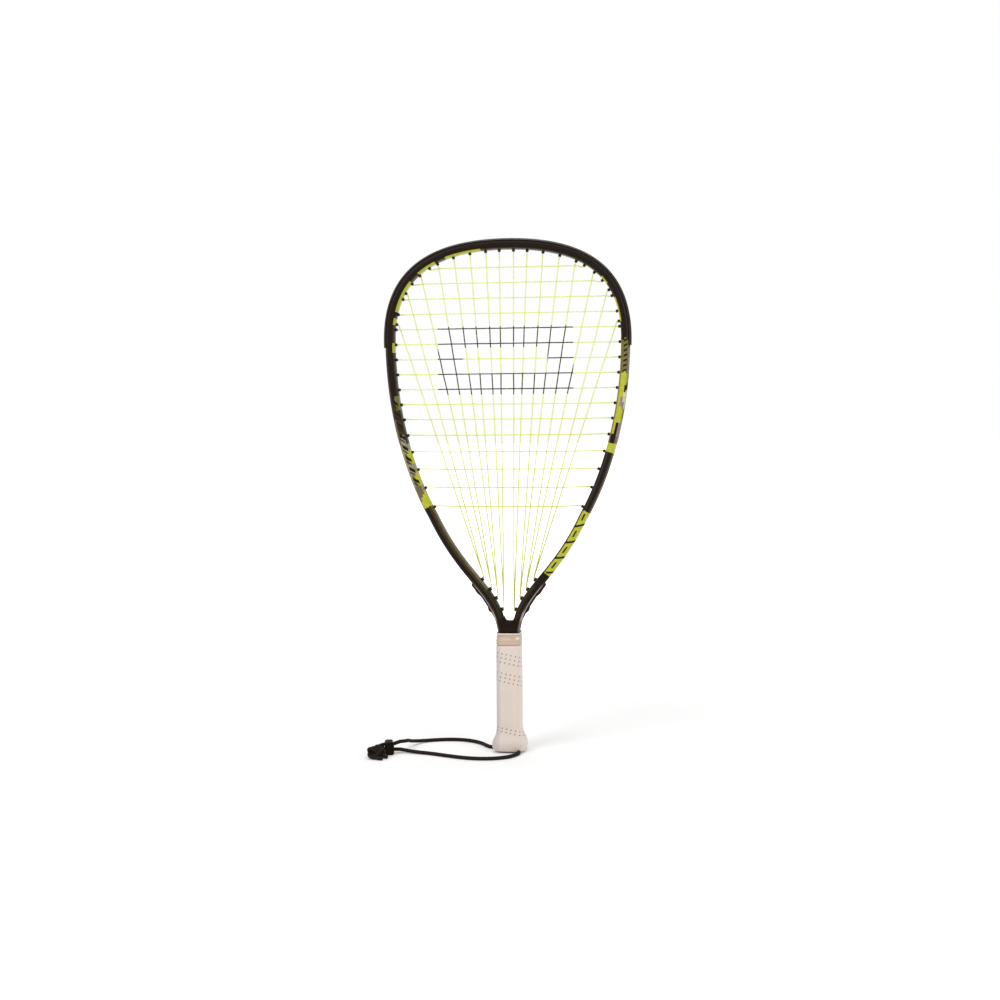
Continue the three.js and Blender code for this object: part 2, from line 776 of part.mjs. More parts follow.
// The grip's outside, drawn in by an inset, from one height to another
function flared(inset, low, high) {
  const inner = flareShares.map(([place]) => place * flareHeight).filter((z) => z > low && z < high);
  return stacked([low, ...inner, high].map((height) => {
    const out = flareAt(height) - inset;
    const chamfer = gripChamfer + flareAt(height) / 2 - inset / 2;
    return handleRing(gripHalfWidth + out, gripHalfDepth + out, chamfer, height);
  }));
}

// The way that the tether takes through the cap's foot
function cordGrooves() {
  return joined([tetherFrontRoute[0], tetherBackRoute[0]].map(([x, y]) => {
    const way = new THREE.Vector3(x, y, 0).normalize();
    const points = [new THREE.Vector3(), way.clone().multiplyScalar(gripHalfDepth + flareOut + overrun)];
    const outline = [[1, 1], [-1, 1], [-1, -1], [1, -1]].map(([across, up]) => {
      return new THREE.Vector2((across * cordGrooveWidth) / 2, up * cordGrooveHeight);
    });
    const sideways = new THREE.Vector3(0, 0, 1).cross(way);
    return solidOf(sweep(points, outline, sideways, new THREE.Vector3(0, 0, 1)));
  }));
}

const pinWay = new THREE.Vector3(1, 0, 0).applyAxisAngle(
  new THREE.Vector3(0, 0, 1), THREE.MathUtils.degToRad(pinTurn),
);

function pinRod(radius, reach) {
  const ends = [-1, 1].map((way) => pinWay.clone().multiplyScalar(way * reach).setZ(pinHeight));
  return solidOf(tube(ends, radius, cordSides));
}

function screwRod(side, radius, inner, outer) {
  const points = [outer, inner].map((reach) => new THREE.Vector3(0, side * reach, screwHeight));
  return solidOf(tube(points, radius, cordSides));
}

const capInset = wrapThickness + gap;
const screwOuter = gripHalfDepth + flareAt(screwHeight + screwHeadRadius) - capInset - gap;
const screwInner = screwOuter - screwLength - screwHeadLength;

function screw(side) {
  const shank = screwRod(side, screwRadius, screwInner, screwOuter);
  return shank.add(screwRod(side, screwHeadRadius, screwOuter - screwHeadLength, screwOuter));
}

function screwHoles() {
  return joined(sides.flatMap((side) => [
    screwRod(side, screwRadius + gap, screwInner - gap, screwOuter + overrun),
    screwRod(side, screwHeadRadius + gap, screwOuter - screwHeadLength - gap, screwOuter + overrun),
  ]));
}

function buttCap() {
  const body = flared(capInset, 0, capTop);
  const foot = flared(rimInset, 0, wrapBottom - gap);
  const socket = handlePrism(wrapThickness, palletBottom - gap, capTop + overrun);
  const chamber = new THREE.CylinderGeometry(chamberRadius, chamberRadius, 2 * capTop, 18);
  chamber.rotateX(Math.PI / 2);
  return body.add(foot)
    .subtract(socket)
    .subtract(solidOf(chamber))
    .subtract(cordGrooves())
    .subtract(pinRod(pinRadius + gap, chamberRadius + pinSeat + gap))
    .subtract(screwHoles());
}

function pallet(side) {
  const block = handlePrism(wrapThickness + gap, palletBottom, palletTop);
  const low = [-gripHalfWidth, palletFlat, 0];
  const high = [gripHalfWidth, gripHalfDepth, palletTop + overrun];
  const keep = box(low, high);
  if (side < 0) keep.rotateZ(Math.PI);
  return block.intersect(solidOf(keep)).subtract(legSpace(-1)).subtract(legSpace(1)).subtract(screwHoles());
}

function legPlug(side) {
  const foot = stationAt(lineSteps.length - 1, 1, side);
  const stations = [plugLength, 0].map((rise) => ({ ...foot, middle: at(foot, 0, 0, -rise) }));
  return alongTube(stations, (station) => cavityOutline(station, gap));
}

function gripWrap() {
  const outside = flared(0, wrapBottom, wrapTop);
  const inside = flared(wrapThickness, wrapBottom - overrun, wrapTop + overrun);
  return outside.subtract(inside).subtract(cordGrooves());
}

function gripRing(low, high, inset, wall) {
  return handlePrism(inset, low, high).subtract(handlePrism(inset + wall, low - overrun, high + overrun));
}

// Tether

function tether(route) {
  return tube(smooth(route, cordStepShare * cordRadius), cordRadius, cordSides);
}

function tetherBight() {
  return tube(vectors(tetherBightRoute), cordRadius, cordSides);
}

// One strand of an overhand knot, set aside from its middle line in the knot's plane
function knotStrand(aside) {
  const reach = 3;
  const turn = new THREE.Euler(THREE.MathUtils.degToRad(knotTilt), 0, THREE.MathUtils.degToRad(knotTurn), "ZYX");
  const length = knotLength / 2 - 2 * cordRadius;
  const width = knotWidth / 2 - 2 * cordRadius;
  return Array.from({ length: knotSteps + 1 }, (_, k) => {
    const angle = (2 * Math.PI * k) / knotSteps;
    const middle = new THREE.Vector2(
      (length * (Math.sin(angle) + 2 * Math.sin(2 * angle))) / reach,
      (width * (Math.cos(angle) - 2 * Math.cos(2 * angle))) / reach,
    );
    const way = new THREE.Vector2(
      length * (Math.cos(angle) + 4 * Math.cos(2 * angle)),
      width * (4 * Math.sin(2 * angle) - Math.sin(angle)),
    ).normalize();
    return new THREE.Vector3(
      middle.x - way.y * aside,
      middle.y + way.x * aside,
      -Math.sin(3 * angle) * (knotHeight / 2 - cordRadius),
    ).applyEuler(turn).add(new THREE.Vector3(...knotCentre));
  });
}

// An overhand knot of both strands, closed on itself, with a core and two tails
function tetherKnot() {
  const gapAcross = knotSteps / 2;
  const strands = [tetherFrontRoute, tetherBackRoute].map((route) => {
    return solidOf(tube(smooth(route, cordStepShare * cordRadius), cordRadius + gap, cordSides));
  });
  const loops = [-cordRadius, cordRadius].map((aside) => knotStrand(aside));
  const halves = loops.flatMap((loop) => [loop.slice(0, gapAcross + 2), loop.slice(gapAcross)]);
  const pieces = [...halves, ...knotTails.map((tail) => vectors(tail))];
  const core = new THREE.SphereGeometry(1 / 2, knotCoreSides, knotCoreSides / 2);
  core.scale(knotLength * knotCoreShare, knotWidth * knotCoreShare, knotHeight * knotCoreShare);
  core.rotateZ(THREE.MathUtils.degToRad(knotTurn)).translate(...knotCentre);
  return joined(pieces.map((points) => solidOf(tube(points, cordRadius, knotSides))))
    .add(solidOf(core))
    .subtract(joined(strands));
}

// Cord lock

function slab(low, high, round, alongY) {
  const [x, z] = [high[0] - low[0], high[2] - low[2]];
  const shape = new THREE.Shape();
  shape.moveTo(low[0] + round, low[2]);
  shape.lineTo(low[0] + x - round, low[2]);
  shape.quadraticCurveTo(high[0], low[2], high[0], low[2] + round);
  shape.lineTo(high[0], low[2] + z - round);
  shape.quadraticCurveTo(high[0], high[2], high[0] - round, high[2]);
  shape.lineTo(low[0] + round, high[2]);
  shape.quadraticCurveTo(low[0], high[2], low[0], high[2] - round);
  shape.lineTo(low[0], low[2] + round);
  shape.quadraticCurveTo(low[0], low[2], low[0] + round, low[2]);
  const block = new THREE.ExtrudeGeometry(shape, { depth: alongY, bevelEnabled: false, curveSegments: 3 });
  return solidOf(block.rotateX(Math.PI / 2).translate(0, high[1], 0));
}

const cavityHalf = lockHalfLength - lockWall;
const cavityBottom = lockBottom + lockCapWall;
const cavityTop = lockTop - lockCapWall;
const cavityFront = lockFront + lockCapWall;

function lockBody() {
  const outside = slab(
    [-lockHalfLength, lockFront, lockBottom], [lockHalfLength, lockBack, lockTop],
    lockRound, lockBack - lockFront,
  );
  const cavity = box([-cavityHalf, cavityFront, cavityBottom], [cavityHalf, lockBack + overrun, cavityTop]);
  const slot = box(
    [-lockHalfLength - overrun, lockSlotFront, lockSlotBottom],
    [lockHalfLength + overrun, lockSlotBack, lockSlotTop],
  );
  return outside.subtract(solidOf(cavity)).subtract(solidOf(slot));
}

function lockButton() {
  const halfWidth = cavityHalf - gap;
  const [bottom, top] = [cavityBottom + gap, cavityTop - gap];
  const back = lockSlotBack + buttonTravel + gap / 2 + plungerBack;
  const stem = slab([-halfWidth, plungerFront, bottom], [halfWidth, back, top], buttonRound, back - plungerFront);
  const slot = box(
    [-lockHalfLength - overrun, lockSlotFront + gap / 2, lockSlotBottom],
    [lockHalfLength + overrun, lockSlotBack + buttonTravel + gap / 2, lockSlotTop],
  );
  const tip = lockBack + buttonTravel + knobProud;
  const ends = [back - plungerBack / 2, tip - knobRadius / 2].map((y) => new THREE.Vector3(0, y, knobHeight));
  const knob = solidOf(tube(ends, knobRadius, knobSides));
  const dome = new THREE.SphereGeometry(knobRadius, knobSides, knobSides / 2);
  dome.translate(0, tip - knobRadius, knobHeight);
  return stem.subtract(solidOf(slot)).add(knob).add(solidOf(dome));
}

function lockSpring() {
  const start = cavityFront + gap + springWire;
  const end = plungerFront - gap - springWire;
  const height = (cavityBottom + cavityTop) / 2;
  const steps = springTurns * springSteps;
  const points = Array.from({ length: steps + 1 }, (_, k) => {
    const turn = (2 * Math.PI * k) / springSteps;
    const along = start + ((end - start) * k) / steps;
    return new THREE.Vector3(springRadius * Math.cos(turn), along, height + springRadius * Math.sin(turn));
  });
  return tube(points, springWire, springSides);
}

// The racket

const racket = new THREE.Group();
const lock = new THREE.Group();
lock.position.set(...lockPlace);
lock.rotation.z = THREE.MathUtils.degToRad(lockTurn);
racket.add(lock);

function place(name, shape, material, group = racket) {
  const geometry = shape.isBufferGeometry ? shape : geometryOf(shape);
  const mesh = new THREE.Mesh(geometry, material);
  mesh.name = name;
  group.add(mesh);
}

place("frame_hoop", frameHoop(), black);
place("throat_bridge", throatBridge(), black);
place("bumper_guard", bumperGuard(), nylon);
place("grommet_strip_left", sideStrip(-1), nylon);
place("grommet_strip_right", sideStrip(1), nylon);
place("throat_grommets_left", throatStrip(-1), nylon);
place("throat_grommets_right", throatStrip(1), nylon);
place("main_string", mainString(), neon);
place("cross_string", crossString(), neon);
place("pallet_front", pallet(-1), foam);
place("pallet_back", pallet(1), foam);
place("leg_plug_left", legPlug(-1), foam);
place("leg_plug_right", legPlug(1), foam);
place("butt_cap", buttCap(), nylon);
place("butt_screw_front", screw(-1), steel);
place("butt_screw_back", screw(1), steel);
place("tether_pin", pinRod(pinRadius, chamberRadius + pinSeat), steel);
place("grip_wrap", gripWrap(), beige);
place("finishing_tape", gripRing(wrapTop + gap, tapeTop, 0, wrapThickness), tan);
place("grip_collar", gripRing(tapeTop + gap, collarTop, gap, collarWall), white);
place("tether_front", tether(tetherFrontRoute), cordBlack);
place("tether_back", tether(tetherBackRoute), cordBlack);
place("tether_bight", tetherBight(), cordBlack);
place("tether_knot", tetherKnot(), cordBlack);
place("cord_lock_body", lockBody(), nylon, lock);
place("cord_lock_button", lockButton(), nylon, lock);
place("cord_lock_spring", lockSpring(), steel, lock);

export default racket;
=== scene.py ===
# Looks of the racquetball racket. Metres, +Z up the handle, +X across the head, +Y away from the front face.
import bisect
import functools
import itertools
import json
import math

import bmesh
import bpy
from mathutils import Euler, Matrix, Vector


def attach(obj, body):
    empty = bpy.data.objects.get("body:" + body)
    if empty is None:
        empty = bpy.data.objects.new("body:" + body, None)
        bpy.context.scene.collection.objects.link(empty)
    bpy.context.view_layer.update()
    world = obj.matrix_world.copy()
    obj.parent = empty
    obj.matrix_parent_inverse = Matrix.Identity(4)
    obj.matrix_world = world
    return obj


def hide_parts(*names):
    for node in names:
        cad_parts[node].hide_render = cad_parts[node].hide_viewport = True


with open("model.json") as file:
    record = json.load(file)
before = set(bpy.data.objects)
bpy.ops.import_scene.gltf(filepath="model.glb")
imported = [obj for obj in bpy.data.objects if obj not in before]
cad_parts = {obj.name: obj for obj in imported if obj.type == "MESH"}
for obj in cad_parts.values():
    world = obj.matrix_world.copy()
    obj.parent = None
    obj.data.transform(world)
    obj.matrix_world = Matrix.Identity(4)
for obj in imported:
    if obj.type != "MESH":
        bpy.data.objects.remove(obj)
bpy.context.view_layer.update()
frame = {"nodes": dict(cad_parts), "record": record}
NODES = frame["nodes"]
MM = 0.001

# Camera of the photograph
CAMERA_PLACE = Vector((0.1598, -1.4915, 0.3547))
CAMERA_FORWARD = Vector((-0.11233, 0.99229, -0.05243))
CAMERA_UP = Vector((0.00194, 0.05299, 0.99859))
LENS = 49.5
SENSOR = 36

# Frame tube: face across the strings' plane, beam along Y
OVERALL = 0.5588
GAP = 0.0003
FACE = 0.0096
LEG_FACE = 0.009
BEAM = 0.021
GROOVE_DEPTH = 0.0024
GROOVE_WIDTH = 0.0082
GROOVE_FADE = (0.134, 0.145)
LEG_TAPER = (0.13, 0.158)
TUBE_SHARES = [(1, 0.61), (0.58, 0.905), (0.05, 1), (-0.45, 0.94), (-0.88, 0.7), (-1, 0.36)]
SOFT_CORNER = 0.0008
HARD_CORNER = 0.0003
CORNER_STEPS = 3
MOST_CUT = 0.45

# Middle line of the tube
HEAD_WIDTH = 0.266
WIDEST_HEIGHT = 0.4504
KNEE = (0.0827, 0.2587)
KNEE_LEAN = math.radians(25.5)
LEG_TOP = (0.0062, 0.1135)
LEG_FOOT = 0.018
LEG_RISE = 0.0668
CROWN_REACH, WIDEST_RISE, WIDEST_DROP, KNEE_RISE, KNEE_DROP = 0.69, 0.66, 0.6, 0.04, 0.62
RINGS = (64, 40, 56, 8)

# Bumper guard and grommet strips
BUMPER = 0.0014
BUMPER_CROSSES = 6
BUMPER_END = 0.2
BUMPER_LIP = 0.75
STRIP_FLOOR = 0.0007
STRIP_WALL = 0.0012
STRIP_PROUD = 0.0002
STRIP_JOINT = 0.0012
BARREL = 0.00165
BORE = 0.00085
NOSE = 0.0026
THROAT_NOSE = 0.0025
THROAT_BARREL = (0.0042, 0.005)
THROAT_NOSES = (0.755, 0.677, 0.61, 0.53)
THROAT_PROUD = 0.0024
THROAT_SHARES = [
    (0.507, 0.5), (0.516, 1.1), (0.54, 1.15), (0.558, 1.3), (0.578, 1.48), (0.593, 1.22), (0.61, 0.95),
    (0.66, 1), (0.7, 0.88), (0.714, 1.2), (0.73, 1.3), (0.75, 0.6), (0.77, 0.4), (0.79, 0.27),
]
THROAT_STEP = 0.003
PAIR = 0.002
LIP, DIMPLE = 0.0004, 0.0012
BARREL_SIDES = 16
THROAT_CORNER, STRIP_CORNER = 0.0006, 0.00025
BUMPER_CORNERS = [0.0002, 0.0004, 0.001, 0.0005, 0.0002, 0.0004, 0.0001, 0.0001]

# Strings
STRING = 0.00065
LEAD = 0.0008
TAIL = 0.006
LANE_TURN = 0.0022
TURN_RADIUS, TURN_STEPS = 0.0011, 4
SHARP_TURN = math.radians(20)
WAVE_PARTS = 6
STRING_SIDES = 10
MAINS = (0.042, 0.123, 0.218, 0.32, 0.425, 0.557, 0.699, 0.9)
CROSSES = 16
FIRST_CROSS, CROSS_PITCH, CROSS_GROWTH, EVEN_CROSSES = 0.0817, 0.05586, 0.00307, 11

# Throat bridge
BRIDGE_RISE = 0.0153
BRIDGE_HALF = 0.009
BRIDGE_SHARES = [(0.9, 0), (0.95, 0.2), (1, 0.45), (0.97, 0.7), (0.85, 0.92), (0.73, 1)]
BRIDGE_TIP, CROTCH_FLAT, CROTCH_CORNER, CROTCH = 0.64, 0.26, 0.5, 0.712
BRIDGE_PROUD = 0.001
BRIDGE_SOFT, BRIDGE_SOFT_STEPS = 0.00025, 2
CROTCH_STEPS = 10

# Handle
GRIP_HALF = (0.0135, 0.015)
CHAMFER = 0.0046
GRIP_CORNER_SHARE = 0.42
OUTLINE_STEP = 0.0012
WRAP = 0.0016
WRAP_BOTTOM, WRAP_TOP = 0.0014, 0.1176
TAPE_TOP = 0.129
COLLAR_TOP = 0.1312
WRAP_STEPS, TAPE_STEPS, COLLAR_STEPS = 110, 40, 8
WRAP_HEM, WRAP_EDGE = 0.0006, 0.001
TAPE_LAPS, TAPE_LAP, TAPE_FOLD, TAPE_FOLD_AT = 3.2, 0.00035, 0.0003, (0.55, 0.6)
TAPE_HEM, TAPE_HEM_SHARE, TAPE_OUT = 0.0005, 0.06, 0.0001
COLLAR_IN, COLLAR_CROWN, COLLAR_WALL = 0.0003, 0.0003, 0.0007
FLARE_HEIGHT = 0.03
FLARE_OUT = 0.0056
FLARE_SHARES = [
    (0, 0.1), (0.047, 0.45), (0.13, 0.82), (0.27, 0.93), (0.4, 0.82), (0.53, 0.5), (0.65, 0.22),
    (0.8, 0.04), (1, 0),
]

# Tether: close to the model's routes
CORD = 0.002
CORD_SIDES, CORD_STEP = 16, 0.0015
TAIL_DOME, DOME_TURNS = 0.0008, (30, 60, 80)
BRAID_TURNS, BRAID_PITCH = 4, 0.0032
FRONT_ROUTE = [
    (6.3, -10.3, 2.05), (8.9, -14.6, 2.05), (11.3, -18.6, 2.05), (11.4, -24.6, 2.05), (8, -32.8, 2.05),
    (3, -40, 2.05), (-5, -45.6, 2.05), (-15, -49.6, 2.05), (-27, -51, 2.05), (-40, -49.5, 2.05),
    (-53, -45.4, 2.05), (-65, -40.2, 2.05), (-77, -34.8, 2.05), (-89, -30.2, 2.1), (-99, -27.6, 2.3),
    (-107.5, -25.4, 2.7), (-114, -23.6, 3.3), (-118.6, -23.1, 3.9), (-122.6, -23.94, 4.1),
    (-126, -24.85, 4.1), (-131, -26.2, 4.5), (-134.6, -27.15, 5.3), (-138, -28.4, 6.2), (-141, -31, 6.2),
    (-142.4, -34.5, 5.6), (-142.6, -38, 5.6), (-142.2, -42, 5.8),
]
BACK_ROUTE = [
    (-11.9, 1.95, 2.05), (-16.8, 2.75, 2.05), (-21.8, 4, 2.05), (-27, 10, 2.05), (-32.6, 18.8, 2.05),
    (-40.5, 27, 2.05), (-50, 33, 2.05), (-60.5, 36.2, 2.05), (-72, 36.4, 2.05), (-84, 34, 2.05),
    (-95, 29.6, 2.2), (-104, 22.6, 3), (-109.8, 13.6, 4.8), (-112.2, 4, 7.1), (-113, -4.6, 9.5),
    (-113.6, -12.2, 10.9), (-115.2, -18.8, 12), (-118.8, -22.8, 12.3), (-122.4, -23.9, 11.2),
    (-126, -24.85, 10.2), (-134.6, -27.15, 10.1), (-137.6, -30.6, 10), (-140.4, -35.4, 9.6),
    (-143.1, -39.9, 9), (-145.1, -44.2, 8), (-146.3, -48.2, 6.8), (-147.2, -51.6, 5), (-146.2, -54.4, 3.6),
    (-142.9, -57, 2.6), (-139, -57.6, 2.3),
]
BIGHT_ROUTE = [
    (6.1, -10, 2.05), (4.8, -7.8, 2.05), (3.8, -6.2, 3.2), (2.9, -4.7, 5.4), (2.1, -3.4, 7.8),
    (1.1, -1.6, 9.6), (0, 0, 10.3), (-1.8, 0.5, 9.9), (-3.6, 0.7, 8), (-4.9, 0.8, 5.4),
    (-6.2, 1, 3.2), (-8, 1.3, 2.05), (-11.5, 1.9, 2.05),
]
KNOT_CENTRE = (-139.6, -48.6, 6.7)
KNOT_SIZE = (0.0215, 0.0195, 0.0126)
KNOT_TURN, KNOT_TILT = math.radians(20), math.radians(4)
KNOT_STEPS = 120
KNOT_TAILS = [
    [(-140, -48, 4.6), (-134, -50.6, 3), (-127.5, -52.5, 2.2)],
    [(-142, -52, 4.4), (-138.4, -57.6, 2.6), (-131.5, -60.5, 2.2)],
]


# Camera

def put(name, data):
    """A new object in the scene"""
    body = bpy.data.objects.new(name, data)
    bpy.context.scene.collection.objects.link(body)
    return body


def camera():
    data = bpy.data.cameras.new("camera")
    data.lens = LENS
    data.sensor_width = SENSOR
    data.clip_start, data.clip_end = 0.05, 60
    body = put("camera", data)
    right = CAMERA_FORWARD.cross(CAMERA_UP).normalized()
    up = right.cross(CAMERA_FORWARD).normalized()
    turn = Matrix((right, up, -CAMERA_FORWARD.normalized())).transposed()
    body.matrix_world = Matrix.Translation(CAMERA_PLACE) @ turn.to_4x4()
    bpy.context.scene.camera = body


# Mesh helpers

def smoothstep(low, high, value):
    share = min(1, max(0, (value - low) / (high - low)))
    return share * share * (3 - 2 * share)


class Shell:
    """Points, faces and a UV pair for each point, gathered from several closed forms"""

    def __init__(self):
        self.points, self.faces, self.uvs = [], [], []

    def rings(self, rings, uvs=None, closed=False, caps=True):
        """A skin over rings of points. The UV of each point of each ring may be given."""
        base, count = len(self.points), len(rings[0])
        for k, ring in enumerate(rings):
            self.points += [tuple(point) for point in ring]
            self.uvs += uvs[k] if uvs else [(0, 0)] * count
        turns = len(rings) if closed else len(rings) - 1
        for k in range(turns):
            low, high = base + k * count, base + (k + 1) % len(rings) * count
            for side in range(count):
                after = (side + 1) % count
                self.faces.append((low + side, low + after, high + after, high + side))
        if caps and not closed:
            self.faces.append(tuple(base + side for side in reversed(range(count))))
            self.faces.append(tuple(base + (len(rings) - 1) * count + side for side in range(count)))

    def piece(self, name, material, smooth_angle=40):
        mesh = bpy.data.meshes.new(name)
        mesh.from_pydata(self.points, [], self.faces)
        layer = mesh.uv_layers.new(name="strip")
        for loop in mesh.loops:
            layer.data[loop.index].uv = self.uvs[loop.vertex_index]
        made = bmesh.new()
        made.from_mesh(mesh)
        bmesh.ops.recalc_face_normals(made, faces=made.faces)
        made.to_mesh(mesh)
        made.free()
        mesh.shade_smooth()
        mesh.set_sharp_from_angle(angle=math.radians(smooth_angle))
        mesh.materials.append(material)
        return put(name, mesh)


def quadratic(start, corner, end, steps):
    shares = [k / steps for k in range(steps + 1)]
    return [start * (1 - t) ** 2 + corner * (2 * t * (1 - t)) + end * t ** 2 for t in shares]


def cut_corner(before, corner, after, size, steps):
    """A corner cut back by up to a size and rounded by a curve"""
    ends = []
    for way in (before - corner, after - corner):
        ends.append(corner + way * min(MOST_CUT, size / max(way.length, 1e-9)))
    return quadratic(ends[0], corner, ends[1], steps)


def rounded(corners, radius, steps=CORNER_STEPS):
    """A closed outline with each corner rounded, by one radius or each by its own"""
    made = []
    for k, corner in enumerate(corners):
        size = radius[k] if isinstance(radius, list) else radius
        made += cut_corner(corners[k - 1], corner, corners[(k + 1) % len(corners)], size, steps)
    return made


def mirrored(front):
    """The front half of a section and its mirror image behind"""
    return [Vector(point) for point in front] + [Vector((out, -deep)) for out, deep in reversed(front)]


def blend(a, b, start, end, t):
    return a * ((end - t) / (end - start)) + b * ((t - start) / (end - start))


def catmull(points, step):
    """A smooth path through points, with places a step apart"""
    made = [points[0]]
    padded = [2 * points[0] - points[1], *points, 2 * points[-1] - points[-2]]
    for k in range(1, len(points)):
        near = padded[k - 1:k + 3]
        knots = [0]
        for a, b in zip(near, near[1:]):
            knots.append(knots[-1] + math.sqrt(max((b - a).length, 1e-9)))
        parts = max(1, round((near[2] - near[1]).length / step))
        for part in range(1, parts + 1):
            t = knots[1] + (knots[2] - knots[1]) * part / parts
            first = [blend(near[j], near[j + 1], knots[j], knots[j + 1], t) for j in range(3)]
            second = [blend(first[j], first[j + 1], knots[j], knots[j + 2], t) for j in range(2)]
            made.append(blend(*second, knots[1], knots[2], t))
    return made


def runs_of(path):
    """The length reached at each place of a path"""
    steps = [(b - a).length for a, b in zip(path, path[1:])]
    return list(itertools.accumulate(steps, initial=0))


def tangents_of(path, closed):
    count = len(path)
    if closed:
        return [(path[(k + 1) % count] - path[k - 1]).normalized() for k in range(count)]
    return [(path[min(k + 1, count - 1)] - path[max(k - 1, 0)]).normalized() for k in range(count)]


def drawn_in(outline, inset):
    """The points of an anticlockwise outline, moved inwards"""
    ways = tangents_of(outline, True)
    return [point + Vector((-way.y, way.x)) * inset for point, way in zip(outline, ways)]


def carried_frames(tangents, closed):
    """A way across the path at each place, carried without twist, and the angle a closed path ends off by"""
    helper = Vector((0, 1, 0)) if abs(tangents[0].y) < 0.9 else Vector((0, 0, 1))
    across = helper.cross(tangents[0]).normalized()
    frames = [across]
    for before, tangent in zip(tangents, tangents[1:]):
        across = before.rotation_difference(tangent) @ across
        frames.append((across - tangent * across.dot(tangent)).normalized())
    if not closed:
        return frames, 0
    back = tangents[-1].rotation_difference(tangents[0]) @ frames[-1]
    return frames, math.atan2(back.cross(frames[0]).dot(tangents[0]), back.dot(frames[0]))


def dome(ring, centre, out, height):
    """Rings that round off a tube's end"""
    made = []
    for turn in map(math.radians, DOME_TURNS):
        shrink, rise = math.cos(turn), out * (height * math.sin(turn))
        made.append([centre + (point - centre) * shrink + rise for point in ring])
    return made


def lay_tube(shell, path, radius, sides, closed=False, dome_height=0.0):
    """A round tube along a path, its UV the length along and the way round"""
    tangents = tangents_of(path, closed)
    frames, twist = carried_frames(tangents, closed)
    rings, uvs = [], []
    for k, (place, run) in enumerate(zip(path, runs_of(path))):
        up = tangents[k].cross(frames[k])
        angles = [2 * math.pi * side / sides + twist * k / len(path) for side in range(sides)]
        ways = [frames[k] * math.cos(angle) + up * math.sin(angle) for angle in angles]
        rings.append([place + way * radius for way in ways])
        uvs.append([(run, side / sides) for side in range(sides)])
    if dome_height:
        first = dome(rings[0], path[0], -tangents[0], dome_height)
        last = dome(rings[-1], path[-1], tangents[-1], dome_height)
        rings = first[::-1] + rings + last
        uvs = [uvs[0]] * len(first) + uvs + [uvs[-1]] * len(last)
    shell.rings(rings, uvs, closed=closed)


# Middle line of the tube, from the crown down each side

def bezier(p0, p1, p2, p3, t):
    q = 1 - t
    place = p0 * q ** 3 + p1 * (3 * q * q * t) + p2 * (3 * q * t * t) + p3 * t ** 3
    way = (p1 - p0) * (q * q) + (p2 - p1) * (2 * q * t) + (p3 - p2) * (t * t)
    return place, way.normalized()


def middle_curves():
    half = FACE / 2
    crown_z = OVERALL - BUMPER - GAP - half
    reach = HEAD_WIDTH / 2 - half
    crown, widest = Vector((0, crown_z)), Vector((reach, WIDEST_HEIGHT))
    knee, top, foot = Vector(KNEE), Vector(LEG_TOP), Vector((LEG_TOP[0], LEG_FOOT))
    lean = Vector((math.sin(KNEE_LEAN), math.cos(KNEE_LEAN)))
    rise, drop, leg = crown_z - WIDEST_HEIGHT, WIDEST_HEIGHT - KNEE[1], KNEE[1] - LEG_TOP[1]
    above_widest = Vector((reach, WIDEST_HEIGHT + rise * WIDEST_RISE))
    below_widest = Vector((reach, WIDEST_HEIGHT - drop * WIDEST_DROP))
    return [
        (crown, Vector((reach * CROWN_REACH, crown_z)), above_widest, widest),
        (widest, below_widest, knee + lean * (drop * KNEE_RISE), knee),
        (knee, knee - lean * (leg * KNEE_DROP), Vector((top.x, top.y + LEG_RISE)), top),
        (top, top.lerp(foot, 1 / 3), top.lerp(foot, 2 / 3), foot),
    ]


CURVES = middle_curves()
HALF = FACE / 2
GROOVE_FLOOR = HALF - GROOVE_DEPTH
STRIP_BASE = GROOVE_FLOOR + GAP
CHANNEL = STRIP_BASE + STRIP_FLOOR
STRIP_HALF = GROOVE_WIDTH / 2 - GAP
CHANNEL_HALF = STRIP_HALF - STRIP_WALL
LANE = CHANNEL + STRING + GAP
LANE_OFFSET = 2 * STRING + GAP
FINE = 400
LAST_PLACE = 3.99999
HALVINGS = 60

# For each curve: the lengths reached at even parameters
LENGTHS = [runs_of([bezier(*curve, k / FINE)[0] for k in range(FINE + 1)]) for curve in CURVES]
STARTS = [sum(table[-1] for table in LENGTHS[:k]) for k in range(len(LENGTHS))]


class Station:
    """One place on the tube's middle line. Its run is the length from the crown."""

    def __init__(self, along, side=1):
        part = min(int(along), len(CURVES) - 1)
        share = along - part
        place, way = bezier(*CURVES[part], share)
        self.along, self.side = along, side
        self.middle = Vector((side * place.x, 0, place.y))
        self.out = Vector((side * -way.y, 0, way.x)).normalized()
        self.down = Vector((side * way.x, 0, way.y)).normalized()
        step = share * FINE
        low = min(int(step), FINE - 1)
        table = LENGTHS[part]
        self.run = STARTS[part] + table[low] + (table[low + 1] - table[low]) * (step - low)

    def at(self, out, deep=0.0, down=0.0):
        return self.middle + self.out * out + Vector((0, deep, 0)) + self.down * down


def by_length(part, share, side):
    table = LENGTHS[part]
    wanted = table[-1] * share
    k = min(max(bisect.bisect_left(table, wanted), 1), FINE)
    inner = (wanted - table[k - 1]) / max(table[k] - table[k - 1], 1e-12)
    return Station(part + (k - 1 + inner) / FINE, side)


def where_height(height, out, side):
    """The station above the legs whose point at a distance out has a height"""
    low, high = 0.0, 3.0
    for _ in range(HALVINGS):
        middle = (low + high) / 2
        if Station(middle, side).at(out).z > height:
            low = middle
        else:
            high = middle
    return Station(low, side)


def nose_heights():
    crown_z = CURVES[0][0].y
    span = crown_z - KNEE[1]
    heights = []
    for k in range(CROSSES):
        grown = max(0, k - EVEN_CROSSES + 1)
        share = FIRST_CROSS + CROSS_PITCH * k + CROSS_GROWTH * grown * (grown + 1) / 2
        heights.append(crown_z - span * share)
    return heights


